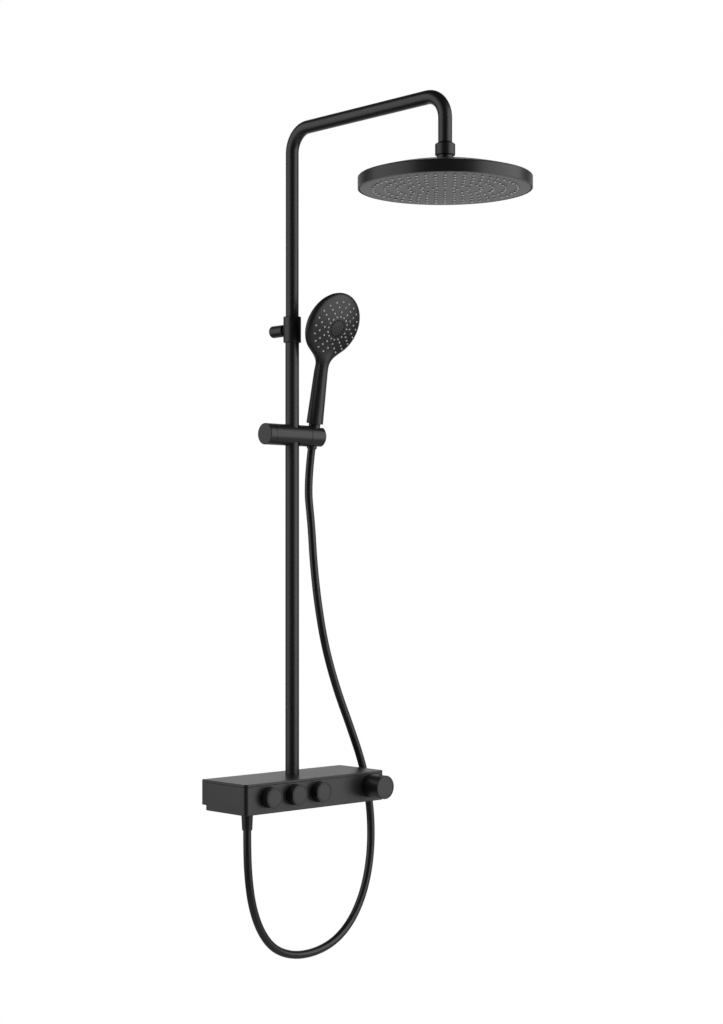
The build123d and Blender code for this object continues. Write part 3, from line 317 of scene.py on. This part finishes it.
def make_piece(name, grids, slot, sharp=math.radians(38)):
    """A mesh from grids of points, each closed around its second direction and at both ends by a pole."""
    count, rows, columns, _ = grids.shape
    shape, row, column = np.meshgrid(
        np.arange(count), np.arange(rows - 1), np.arange(columns), indexing="ij"
    )
    start = shape * rows * columns + row * columns
    near, far = start + column, start + (column + 1) % columns
    faces = np.stack([near, far, far + columns, near + columns], axis=-1).reshape(-1, 4)
    mesh = bpy.data.meshes.new(name)
    mesh.from_pydata(grids.reshape(-1, 3).tolist(), [], faces.tolist())
    work = bmesh.new()
    work.from_mesh(mesh)
    bmesh.ops.remove_doubles(work, verts=work.verts, dist=1e-7)
    bmesh.ops.recalc_face_normals(work, faces=work.faces)
    work.to_mesh(mesh)
    work.free()
    mesh.polygons.foreach_set("use_smooth", np.ones(len(mesh.polygons), bool))
    mesh.set_sharp_from_angle(angle=sharp)
    mesh.materials.append(finish_for(slot))
    piece = bpy.data.objects.new(name, mesh)
    bpy.context.scene.collection.objects.link(piece)
    return piece


def polar_places(rings):
    """Places on rings: (radius, count, start, step) gives radius cos(a), radius sin(a)."""
    spots = [
        radius * np.stack([np.cos(angle), np.sin(angle)], axis=-1)
        for radius, count, start, step in rings
        for angle in [start + step * np.arange(count)]
    ]
    return np.concatenate(spots)


def shade_disc(radius, proud=0.0001):
    """Profile of a sunk disc of painted shade with a soft edge, which stands a little proud of its face."""
    return [(0, -SINK), (radius, -SINK), (radius, 0.5 * proud), (0.95 * radius, proud), (0, proud)]


def rain_nozzle(r, h):
    """Profile of a rain nozzle: a straight foot, a soft shoulder, a flat lip and a sunk mouth."""
    foot = [(0, -SINK), (r, -SINK), (r, NOZZLE_FOOT)]
    lip = [(0.92 * r, 0.8 * h), (0.7 * r, h), (0.45 * r, h)]
    return [*foot, *lip, (0.3 * r, 0.6 * h), (0, 0.6 * h)]


def hand_nozzle(r, h):
    """Profile of a hand shower's nozzle: a flared foot, a soft shoulder, a flat lip and a sunk mouth."""
    foot = [(0, -SINK), (1.3 * r, -SINK), (1.25 * r, 0.5 * NOZZLE_FOOT), (r, NOZZLE_FOOT)]
    lip = [(0.92 * r, 0.7 * h), (0.65 * r, h), (0.35 * r, h)]
    return [*foot, *lip, (0.25 * r, 0.7 * h), (0, 0.7 * h)]


def smooth_least(a, b, k):
    """The lesser of two fields, with the crease between them rounded over k."""
    h = np.clip(0.5 + 0.5 * (b - a) / k, 0, 1)
    return b * (1 - h) + a * h - k * h * (1 - h)


def smooth_most(a, b, k):
    """The greater of two fields, with the crease between them rounded over k."""
    return -smooth_least(-a, -b, k)


def crossing(field, inside, outside, rounds=44):
    """Where a field changes sign between an inner and an outer distance, by halving."""
    low, high = np.broadcast_arrays(np.asarray(inside, float), np.asarray(outside, float))
    for _ in range(rounds):
        middle = (low + high) / 2
        within = field(middle) < 0
        low, high = np.where(within, middle, low), np.where(within, high, middle)
    return (low + high) / 2


def grip_frame():
    """Origin and unit directions of the hand shower's grip: across, along and forward."""
    along = unit(np.array(joints["handset_lift"]["axis"], float))
    across = np.array([1.0, 0.0, 0.0])
    return np.array(joints["cradle_tilt"]["pos_m"], float), across, along, np.cross(across, along)


def riser_foot():
    """Where the middle of the riser meets the shelf's top."""
    riser = joints["slider_swivel"]["pos_m"]
    return np.array([riser[0], riser[1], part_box("shelf_top")[1].z])


class HandShape:
    """The hand shower's skin as a field over (across, along, forward) that is negative inside."""

    def __init__(self, sizes):
        self.sizes = sizes
        self.cos, self.sin = math.cos(sizes.head_lean), math.sin(sizes.head_lean)
        self.origin, *directions = grip_frame()
        self.directions = np.array(directions)

    def placed(self, local):
        """Grip coordinates in the part's frame: the origin + each coordinate times its direction."""
        return self.origin + local @ self.directions

    def face_place(self, along, forward):
        """Height up the face and distance out of it, from the head's middle."""
        a, f = along - self.sizes.head_along, forward - self.sizes.head_forward
        return a * self.cos + f * self.sin, f * self.cos - a * self.sin

    def crown(self, across, up):
        """Height of the crowned front: crown - drop (r / radius)^2 about the spray's middle."""
        s = self.sizes
        reach = np.hypot(across, up + s.spray_drop)
        return s.crown - s.crown_drop * (reach / s.crown_radius) ** 2

    def field(self, across, along, forward):
        """Head and grip, joined with a soft flare."""
        s = self.sizes
        up, out = self.face_place(along, forward)
        reach = np.hypot(across, up)
        back = -s.head_back + (s.head_back - s.head_rim) * (reach / s.head_radius) ** 2 + s.back_tilt * up
        head = smooth_most(out - self.crown(across, up), reach - s.head_radius, s.edge_blend)
        head = smooth_most(head, back - out, s.back_blend)
        taper = np.clip((along - s.grip_start) / (s.neck_along - s.grip_start), 0, 1)
        radius = s.grip_end_radius + (s.neck_radius - s.grip_end_radius) * taper
        grip = smooth_most(np.hypot(across, forward) - radius, along - s.root_along, s.root_blend)
        return smooth_least(head, grip, s.neck_blend)

    def top(self, forwards):
        """Upper end of the head: the highest place along the grip that is still inside."""
        s = self.sizes
        return crossing(
            lambda a: self.field(0.0, np.reshape(a, (-1, 1)), forwards).min(axis=1),
            np.array([s.head_along]),
            np.array([s.head_along + 1.5 * s.head_radius]),
        )[0]

    def skin(self, rows, columns, below_top=1e-6):
        """Sections across the grip, each found along rays from the deepest point inside."""
        s = self.sizes
        forwards = np.linspace(-s.head_back, 2 * s.head_forward, HAND_DEPTH_STEPS)
        top = self.top(forwards) - below_top
        part = np.linspace(0, 1, rows)
        along = s.grip_start + (top - s.grip_start) * np.sin(part * np.pi / 2)
        middle = forwards[self.field(0.0, along[:, None], forwards).argmin(axis=1)]
        wide = np.sqrt(np.clip(1 - ((along - s.head_along) / s.head_radius) ** 2, 0, 1))
        stretch = 1 + (s.head_radius / s.grip_end_radius) * wide
        angle = np.linspace(0, 2 * np.pi, columns, endpoint=False)
        sideways = stretch[:, None] * np.cos(angle)
        ray = unit(np.stack([sideways, np.broadcast_to(np.sin(angle), sideways.shape)], axis=-1))
        reach = crossing(
            lambda r: self.field(r * ray[..., 0], along[:, None], middle[:, None] + r * ray[..., 1]),
            np.zeros((rows, columns)),
            2 * s.head_radius,
        )
        lengthwise = np.broadcast_to(along[:, None], reach.shape)
        return np.stack([reach * ray[..., 0], lengthwise, middle[:, None] + reach * ray[..., 1]], axis=-1)

    def above_face(self, across, up, out):
        """Grip coordinates of a place: across and up from the spray's middle, and out of the face's plane."""
        rise = up - self.sizes.spray_drop
        along = self.sizes.head_along + rise * self.cos - out * self.sin
        forward = self.sizes.head_forward + rise * self.sin + out * self.cos
        return np.stack(np.broadcast_arrays(across, along, forward), axis=-1)

    def face_field(self, across, up, out):
        """The field at a place that is given as above_face takes it."""
        return self.field(*np.moveaxis(self.above_face(across, up, out), -1, 0))

    def front(self, across, up, out):
        """Grip coordinates of a place: across and up from the spray's middle, and out of the face's skin."""
        reach = self.sizes.head_rim / 2
        height = crossing(
            lambda h: self.face_field(across, up, h), np.full(np.shape(across + up), -reach), reach
        )
        return self.above_face(across, up, height + out)


def shared_grain():
    """Node group: fine speckle for coated and moulded surfaces, with a slow drift and a height for bump."""
    group = bpy.data.node_groups.get("fine_grain")
    if group:
        return group
    group = bpy.data.node_groups.new("fine_grain", "ShaderNodeTree")
    for name, value in (("Grain Scale", 2600.0), ("Drift Scale", 9.0)):
        group.interface.new_socket(name, in_out="INPUT", socket_type="NodeSocketFloat").default_value = value
    group.interface.new_socket("Vector", in_out="INPUT", socket_type="NodeSocketVector")
    for name in ("Speck", "Drift", "Height"):
        group.interface.new_socket(name, in_out="OUTPUT", socket_type="NodeSocketFloat")
    nodes, links = group.nodes, group.links
    come, leave = nodes.new("NodeGroupInput"), nodes.new("NodeGroupOutput")
    grain, drift = nodes.new("ShaderNodeTexNoise"), nodes.new("ShaderNodeTexNoise")
    grain.inputs["Detail"].default_value = 2.0
    drift.inputs["Detail"].default_value = 3.0
    for noise, scale in ((grain, "Grain Scale"), (drift, "Drift Scale")):
        links.new(come.outputs["Vector"], noise.inputs["Vector"])
        links.new(come.outputs[scale], noise.inputs["Scale"])
    links.new(grain.outputs["Fac"], leave.inputs["Speck"])
    links.new(grain.outputs["Fac"], leave.inputs["Height"])
    links.new(drift.outputs["Fac"], leave.inputs["Drift"])
    return group


def make_finish(
    name, colour, rough, spread, grain, bump, metal=0.0, stretch=(1, 1, 1), edge=0.0, specular=0.5
):
    """A speckled finish: colour follows the grain, roughness a drift, and a fine bump breaks up the gloss."""
    speck = 0.28
    relief_height = 0.0002
    material = bpy.data.materials.new(name)
    material.use_nodes = True
    nodes, links = material.node_tree.nodes, material.node_tree.links
    shader = nodes["Principled BSDF"]
    shader.inputs["Metallic"].default_value = metal
    shader.inputs["Specular IOR Level"].default_value = specular
    place, mapping = nodes.new("ShaderNodeTexCoord"), nodes.new("ShaderNodeMapping")
    mapping.inputs["Scale"].default_value = stretch
    speckle = nodes.new("ShaderNodeGroup")
    speckle.node_tree = shared_grain()
    speckle.inputs["Grain Scale"].default_value = grain
    links.new(place.outputs["Object"], mapping.inputs["Vector"])
    links.new(mapping.outputs["Vector"], speckle.inputs["Vector"])
    tint = nodes.new("ShaderNodeMix")
    tint.data_type = "RGBA"
    tint.inputs["A"].default_value = (*[(1 - speck) * c for c in colour], 1)
    tint.inputs["B"].default_value = (*[min(1.0, (1 + speck) * c) for c in colour], 1)
    links.new(speckle.outputs["Speck"], tint.inputs["Factor"])
    links.new(tint.outputs["Result"], shader.inputs["Base Color"])
    gloss = nodes.new("ShaderNodeMapRange")
    gloss.inputs["To Min"].default_value = rough - spread
    gloss.inputs["To Max"].default_value = rough + spread
    links.new(speckle.outputs["Drift"], gloss.inputs["Value"])
    links.new(gloss.outputs["Result"], shader.inputs["Roughness"])
    relief = nodes.new("ShaderNodeBump")
    relief.inputs["Strength"].default_value = bump
    relief.inputs["Distance"].default_value = relief_height
    links.new(speckle.outputs["Height"], relief.inputs["Height"])
    links.new(relief.outputs["Normal"], shader.inputs["Normal"])
    if edge:
        rounding = nodes.new("ShaderNodeBevel")
        rounding.inputs["Radius"].default_value = edge
        links.new(rounding.outputs["Normal"], relief.inputs["Normal"])
    return material


def finish_for(slot):
    """The finish of a material slot or of a look of its own, made once."""
    found = bpy.data.materials.get(f"finish_{slot}")
    if found:
        return found
    look = dict(FINISH_LOOKS[slot])
    colour = getattr(bpy.context.scene.shower_finishes, look.pop("colour"))
    return make_finish(f"finish_{slot}", colour, **look)


def joined(tree, operation, first, second):
    """The output of a Math node that takes two other outputs."""
    node = tree.nodes.new("ShaderNodeMath")
    node.operation = operation
    tree.links.new(first, node.inputs[0])
    tree.links.new(second, node.inputs[1])
    return node.outputs["Value"]


class SHOWER_OT_stage(bpy.types.Operator):
    """Make the camera, the pale floor, two softboxes and the white surroundings"""

    bl_idname = "shower.stage"
    bl_label = "Stage"

    def execute(self, context):
        s = context.scene.shower_stage
        context.scene.view_settings.view_transform = "Standard"
        sight = np.array([math.sin(s.camera_turn), math.cos(s.camera_turn), 0.0])
        right = np.array([sight[1], -sight[0], 0.0])
        self.camera(context, s)
        self.floor(context, s)
        low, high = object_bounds()
        target = (np.array(low) + np.array(high)) / 2
        for name, side, level in (("left", -1, s.left_level), ("right", 1, s.right_level)):
            aside = side * right * math.cos(s.box_turn) - sight * math.sin(s.box_turn)
            self.softbox(context, s, f"softbox_{name}", target, aside, level)
        self.surroundings(context, s, sight)
        return {"FINISHED"}

    def camera(self, context, s):
        """A level camera, turned from the front, with its picture shifted up."""
        lens = bpy.data.cameras.new("camera")
        lens.lens = s.lens
        lens.shift_y = s.shift
        camera = bpy.data.objects.new("camera", lens)
        camera.location = s.camera_place
        camera.rotation_euler = (math.pi / 2, 0, -s.camera_turn)
        context.scene.collection.objects.link(camera)
        context.scene.camera = camera

    def floor(self, context, s):
        """A flat round floor: middle + radius (cos(a), sin(a), 0)."""
        angle = np.linspace(0, 2 * np.pi, FLOOR_SIDES, endpoint=False)
        rim = s.floor_radius * np.stack([np.cos(angle), np.sin(angle), 0 * angle], axis=-1)
        mesh = bpy.data.meshes.new("floor")
        middle = np.array([*s.floor_middle, s.floor_z])
        mesh.from_pydata((rim + middle).tolist(), [], [list(range(len(angle)))])
        finish = make_finish(
            "pale_floor", s.floor_colour, rough=0.75, spread=0.05, grain=900, bump=0.0, specular=0.1
        )
        mesh.materials.append(finish)
        floor = bpy.data.objects.new("floor", mesh)
        context.scene.collection.objects.link(floor)
        floor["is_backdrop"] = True

    def softbox(self, context, s, name, target, side, level):
        """A rectangular lamp beside the column, aimed at its middle and hidden from the camera."""
        lamp = bpy.data.lights.new(name, "AREA")
        lamp.shape = "RECTANGLE"
        lamp.size = s.box_width
        lamp.size_y = s.box_height
        lamp.energy = level * math.pi * s.box_width * s.box_height
        box = bpy.data.objects.new(name, lamp)
        place = np.array([target[0], target[1], 0]) + side * s.box_distance + np.array([0, 0, s.box_raise])
        box.location = place
        aim = Vector(target) - Vector(place)
        box.rotation_euler = aim.to_track_quat("-Z", "Y").to_euler()
        box.visible_camera = False
        context.scene.collection.objects.link(box)

    def surroundings(self, context, s, sight):
        """Dim light from all round, which the camera sees as white and gloss as white behind the column."""
        world = bpy.data.worlds.new("surroundings")
        world.use_nodes = True
        context.scene.world = world
        tree = world.node_tree
        nodes, links = tree.nodes, tree.links
        nodes.clear()
        place, along = nodes.new("ShaderNodeTexCoord"), nodes.new("ShaderNodeVectorMath")
        along.operation = "DOT_PRODUCT"
        along.inputs[1].default_value = sight
        links.new(place.outputs["Generated"], along.inputs[0])
        behind = nodes.new("ShaderNodeMapRange")
        behind.interpolation_type = "SMOOTHSTEP"
        behind.inputs["From Min"].default_value = s.backdrop_edge
        behind.inputs["From Max"].default_value = s.backdrop_core
        behind.inputs["To Max"].default_value = s.backdrop
        links.new(along.outputs["Value"], behind.inputs["Value"])
        path = nodes.new("ShaderNodeLightPath").outputs
        mirrored = joined(tree, "MULTIPLY", path["Is Glossy Ray"], behind.outputs["Result"])
        direct = joined(tree, "MAXIMUM", path["Is Camera Ray"], path["Is Transmission Ray"])
        dim, white = nodes.new("ShaderNodeBackground"), nodes.new("ShaderNodeBackground")
        dim.inputs["Strength"].default_value = s.ambient
        for shader in (dim, white):
            shader.inputs["Color"].default_value = (1, 1, 1, 1)
        blend, out = nodes.new("ShaderNodeMixShader"), nodes.new("ShaderNodeOutputWorld")
        links.new(joined(tree, "MAXIMUM", mirrored, direct), blend.inputs["Fac"])
        links.new(dim.outputs["Background"], blend.inputs[1])
        links.new(white.outputs["Background"], blend.inputs[2])
        links.new(blend.outputs["Shader"], out.inputs["Surface"])


class SHOWER_OT_hose(bpy.types.Operator):
    """Make the hose, cut where it passes from one moving piece to the next"""

    bl_idname = "shower.hose"
    bl_label = "Hose"

    def route(self, s):
        """The route's points: along the grip, then as listed, then straight up into the lower nut."""
        origin, _, along, _ = grip_frame()
        start = origin - along * s.upper_tail
        low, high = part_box("hose_nut_lower")
        end = np.array([(low.x + high.x) / 2, (low.y + high.y) / 2, low.z])
        hand = np.array(HOSE_ROUTE) + riser_foot()
        foot = end - np.array([0, 0, s.foot])
        return np.vstack([start, start - along * s.lead, hand, foot, end])

    def smooth_line(self, context, s, points):
        """Points read from a smooth NURBS spline with the route's points as its control points."""
        curve = bpy.data.curves.new("hose_route", "CURVE")
        curve.dimensions = "3D"
        spline = curve.splines.new("NURBS")
        spline.points.add(len(points) - 1)
        spline.points.foreach_set("co", np.hstack([points, np.ones((len(points), 1))]).ravel())
        spline.order_u = 3
        spline.use_endpoint_u = True
        spline.resolution_u = s.steps
        holder = bpy.data.objects.new("hose_route", curve)
        context.scene.collection.objects.link(holder)
        mesh = bpy.data.meshes.new_from_object(holder)
        read = np.empty(3 * len(mesh.vertices))
        mesh.vertices.foreach_get("co", read)
        bpy.data.objects.remove(holder)
        bpy.data.meshes.remove(mesh)
        bpy.data.curves.remove(curve)
        return read.reshape(-1, 3)

    def skin(self, s, line):
        """A circle square to the line about each point: point + radius (cos(a) first + sin(a) second)."""
        heading = unit(np.gradient(line, axis=0))
        depth = np.array([0.0, 1.0, 0.0])
        first = unit(depth - (heading @ depth)[:, None] * heading)
        second = np.cross(heading, first)
        angle = np.linspace(0, 2 * np.pi, s.sides, endpoint=False)
        circle = np.cos(angle)[:, None] * first[:, None] + np.sin(angle)[:, None] * second[:, None]
        return line[:, None] + s.radius * circle

    def execute(self, context):
        s = context.scene.shower_hose
        points = self.route(s)
        line = self.smooth_line(context, s, points)
        skin = self.skin(s, line)
        middles = [(points[run] + points[run + 1]) / 2 for run in HOSE_CUT_RUNS]
        cuts = [0] + [int(np.linalg.norm(line - middle, axis=1).argmin()) for middle in middles]
        still = riser_foot()[2] + s.still_level
        cuts += [int((line[:, 2] < still).argmax()), len(line) - 1]
        stretches = {}
        for name, begin, stop in zip(HOSE_STRETCHES, cuts, cuts[1:]):
            above = slice(max(begin - 1, 0), begin + 1)
            tongue = line[above, None] + s.tongue * (skin[above] - line[above, None])
            poles = [np.repeat(line[at][None, None], s.sides, axis=1) for at in (above.start, stop)]
            grid = np.concatenate([poles[0], tongue, skin[begin:stop + 1], poles[1]])
            piece = make_piece(f"shower_hose_{name}", grid[None], "hose_black")
            stretches[name] = (piece, line[begin:stop + 1])
        self.follow(s, stretches)
        self.declare(stretches, 2 * s.radius)
        return {"FINISHED"}

    def follow(self, s, stretches):
        """Bake each stretch's place into its mesh and hide the carried-over hose part that it stands in for.

        A slanted way up for the rise from the shelf's end and a way down for the loop from its foot
        are worked out, but not used.
        """
        for name, lower, upper in (
            ("grip", "cradle", "handset"),
            ("cradle", "slider", "cradle"),
            ("slider", "slider_carriage", "slider"),
        ):
            piece, line = stretches[name]
            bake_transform(piece)
            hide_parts(f"hose_at_{name}")
        foot = stretches["loop"][1][-1]
        bottom = stretches["loop"][1][:, 2].min()
        riser = riser_foot()
        edge = np.array([riser[0] + s.still_across, foot[1], riser[2] + s.still_level])
        slant = np.array([-math.sin(s.follow_slant), 0, math.cos(s.follow_slant)])
        for name, start, end in (
            ("rise", edge, edge + s.follow_reach * slant),
            ("loop", foot, foot + np.array([0, 0, (bottom - foot[2]) / s.sag])),
        ):
            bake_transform(stretches[name][0])
            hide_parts("hose_loop")

    def declare(self, stretches, diameter):
        """Takes the hose's stretches and diameter, and does nothing with them."""


class SHOWER_OT_rain_face(bpy.types.Operator):
    """Make the rain head's face, its soft nozzles and the painted shade round their feet"""

    bl_idname = "shower.rain_face"
    bl_label = "Rain face"

    def execute(self, context):
        s = context.scene.shower_rain_face
        low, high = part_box("rain_head_face")
        centre = np.array([(low.x + high.x) / 2, (low.y + high.y) / 2, low.z])
        across, up, out = np.diag([1.0, -1.0, -1.0])[:, None]
        profile = self.profile(s, (high.x - low.x) / 2 - s.edge_gap, low.z - high.z)
        grids = turned(profile, centre[None], across, up, out, RAIN_PLATE_SIDES)
        plate = make_piece("rain_face_plate", grids, "black_plastic")
        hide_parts("rain_head_face")
        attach(plate, "rain_head")
        rings = [
            (s.ring_step * n, s.spokes * n, s.turn, 2 * np.pi / (s.spokes * n)) for n in range(1, s.rings + 1)
        ]
        spots = polar_places(rings)
        places = centre + spots[:, :1] * across - spots[:, 1:] * up
        for name, profile, slot, node in (
            ("rain_soft_nozzles", rain_nozzle(s.nub_radius, s.nub_height), "silicone_grey", "rain_nozzles"),
            # Near-black discs of painted shade round the nozzles' feet
            ("rain_nozzle_seats", shade_disc(s.seat_shade_radius), "seal_rubber", None),
        ):
            piece = make_piece(name, turned(profile, places, across, up, out, RAIN_NOZZLE_SIDES), slot)
            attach(piece, "rain_head")
            if node:
                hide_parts(node)
        return {"FINISHED"}

    def profile(self, s, edge, depth):
        """The plate's outline: flat from the middle, a quarter circle at the edge, and back at its depth."""
        bend = np.linspace(0, np.pi / 2, RAIN_EDGE_STEPS)
        inset, drop = s.edge_round * (1 - np.sin(bend)), s.edge_round * (1 - np.cos(bend))
        rounding = np.stack([edge - inset, -drop], axis=-1)
        radius = np.linspace(0, edge - s.edge_round, RAIN_PLATE_RINGS)[:-1]
        flat = np.stack([radius, np.zeros(len(radius))], axis=-1)
        return np.vstack([flat, rounding, [(edge, depth), (0, depth)]])


class SHOWER_OT_hand_shower(bpy.types.Operator):
    """Make the hand shower's skin, spray plate, soft nozzles and the painted shade of its open jets"""

    bl_idname = "shower.hand_shower"
    bl_label = "Hand shower"

    def execute(self, context):
        s = context.scene.shower_hand
        shape = HandShape(s)
        skin = shape.skin(HAND_SKIN_ROWS, HAND_SKIN_COLUMNS)
        first = np.broadcast_to(np.array([0, s.grip_start, 0.0]), skin[:1].shape)
        last = np.broadcast_to(skin[-1].mean(axis=0), skin[:1].shape)
        closed = np.concatenate([first, skin, last])
        shell = make_piece("hand_shower_skin", shape.placed(closed)[None], "black_plastic")
        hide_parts("handset_shell")
        plate = make_piece("hand_spray_plate", shape.placed(self.plate(s, shape))[None], "black_plastic")
        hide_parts("handset_face")
        rings = [
            (radius, count, *np.radians([start, step])) for radius, count, start, step in HAND_NOZZLE_RINGS
        ]
        nub = hand_nozzle(s.nub_radius, s.nub_height)
        nozzles = self.scatter(s, shape, rings, nub, "hand_soft_nozzles", "silicone_grey")
        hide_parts("handset_nozzles")
        ring = (s.jet_ring, s.jet_count, 0.0, 2 * np.pi / s.jet_count)
        # Near-black discs of painted shade stand in for the open jets' holes
        jets = self.scatter(s, shape, [ring], shade_disc(s.jet_shade_radius), "hand_open_jets", "seal_rubber")
        for piece in (shell, plate, nozzles, jets):
            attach(piece, "handset")
        return {"FINISHED"}

    def plate(self, s, shape, edge_rise=0.6):
        """The crowned plate in rings about the spray's middle, kept a margin inside the head's outline."""
        angle = np.linspace(0, 2 * np.pi, HAND_PLATE_SIDES, endpoint=False)
        across, up = np.cos(angle), np.sin(angle)
        edge = crossing(
            lambda r: shape.face_field(r * across, r * up, -s.face_margin) + s.face_margin,
            np.zeros(len(angle)),
            s.face_radius,
        )
        share = np.linspace(0, 1, HAND_PLATE_RINGS)[:, None]
        rise = np.where(share < 1, s.face_proud, edge_rise * s.face_proud)
        top = shape.front(share * edge * across, share * edge * up, rise)
        base = shape.front(edge * across, edge * up, -s.face_margin)[None]
        pole = shape.front(0 * edge, 0 * edge, -s.face_margin)[None]
        return np.concatenate([top, base, pole])

    def scatter(self, s, shape, rings, profile, name, slot, step=5e-4):
        """One small turned shape at each place of the rings, standing square to the crowned face."""
        across, up = polar_places(rings).T
        here, beside, above = [
            shape.placed(shape.front(across + aside, up + rise, s.face_proud))
            for aside, rise in ((0, 0), (step, 0), (0, step))
        ]
        sideways = unit(beside - here)
        out = unit(np.cross(sideways, above - here))
        grids = turned(profile, here, sideways, np.cross(out, sideways), out, HAND_NOZZLE_SIDES)
        return make_piece(name, grids, slot)


class SHOWER_OT_springs(bpy.types.Operator):
    """Make the springs behind the buttons and the catch, as copies of the carried-over ones"""

    bl_idname = "shower.springs"
    bl_label = "Springs"

    def execute(self, context):
        for side in ("left", "middle", "right"):
            self.spring(context, f"button_spring_{side}", "column", f"push_button_{side}", press=(0, 1, 0))
        self.spring(context, "catch_spring", "temperature_knob", "safety_catch", press=(0, 0, -1))
        return {"FINISHED"}

    def spring(self, context, name, still, pressed, press):
        """A copy of the carried-over spring with its slot's finish, which takes the carried-over one's place."""
        node = frame["nodes"][name]
        mesh = node.data.copy()
        mesh.transform(node.matrix_world)
        mesh.materials.clear()
        mesh.materials.append(finish_for(slot_of[name]))
        piece = bpy.data.objects.new(f"soft_{name}", mesh)
        context.scene.collection.objects.link(piece)
        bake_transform(piece)
        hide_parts(name)


class SHOWER_OT_finishes(bpy.types.Operator):
    """Give every carried-over part its finish"""

    bl_idname = "shower.finishes"
    bl_label = "Finishes"

    def execute(self, context):
        for name, node in frame["nodes"].items():
            finish = finish_for(OWN_LOOKS.get(name, slot_of[name]))
            if node.material_slots:
                node.material_slots[0].material = finish
            else:
                node.data.materials.append(finish)
        return {"FINISHED"}


class SHOWER_PT_panel(bpy.types.Panel):
    """Lists the makers and sizes of the shower column"""

    bl_label = "Shower column"
    bl_idname = "SHOWER_PT_panel"
    bl_space_type = "VIEW_3D"
    bl_region_type = "UI"
    bl_category = "Shower"

    def draw(self, context):
        for maker in makers:
            self.layout.operator(maker.bl_idname)
        for name, group in groups.items():
            settings = getattr(context.scene, name)
            box = self.layout.box()
            box.label(text=group.__doc__)
            for key in group.__annotations__:
                box.prop(settings, key)


makers = (
    SHOWER_OT_stage,
    SHOWER_OT_hose,
    SHOWER_OT_rain_face,
    SHOWER_OT_hand_shower,
    SHOWER_OT_springs,
    SHOWER_OT_finishes,
)
groups = {
    "shower_stage": StageSizes,
    "shower_hose": HoseSizes,
    "shower_rain_face": RainFaceSizes,
    "shower_hand": HandShowerSizes,
    "shower_finishes": Finishes,
}


def register():
    for group in groups.values():
        bpy.utils.register_class(group)
    for name, group in groups.items():
        setattr(bpy.types.Scene, name, bpy.props.PointerProperty(type=group))
    for kind in (*makers, SHOWER_PT_panel):
        bpy.utils.register_class(kind)


def unregister():
    for kind in reversed((*makers, SHOWER_PT_panel)):
        bpy.utils.unregister_class(kind)
    for name in groups:
        delattr(bpy.types.Scene, name)
    for group in groups.values():
        bpy.utils.unregister_class(group)


def main():
    register()
    bpy.ops.shower.stage()
    bpy.ops.shower.hose()
    bpy.ops.shower.rain_face()
    bpy.ops.shower.hand_shower()
    bpy.ops.shower.springs()
    bpy.ops.shower.finishes()


if __name__ == "__main__":
    main()
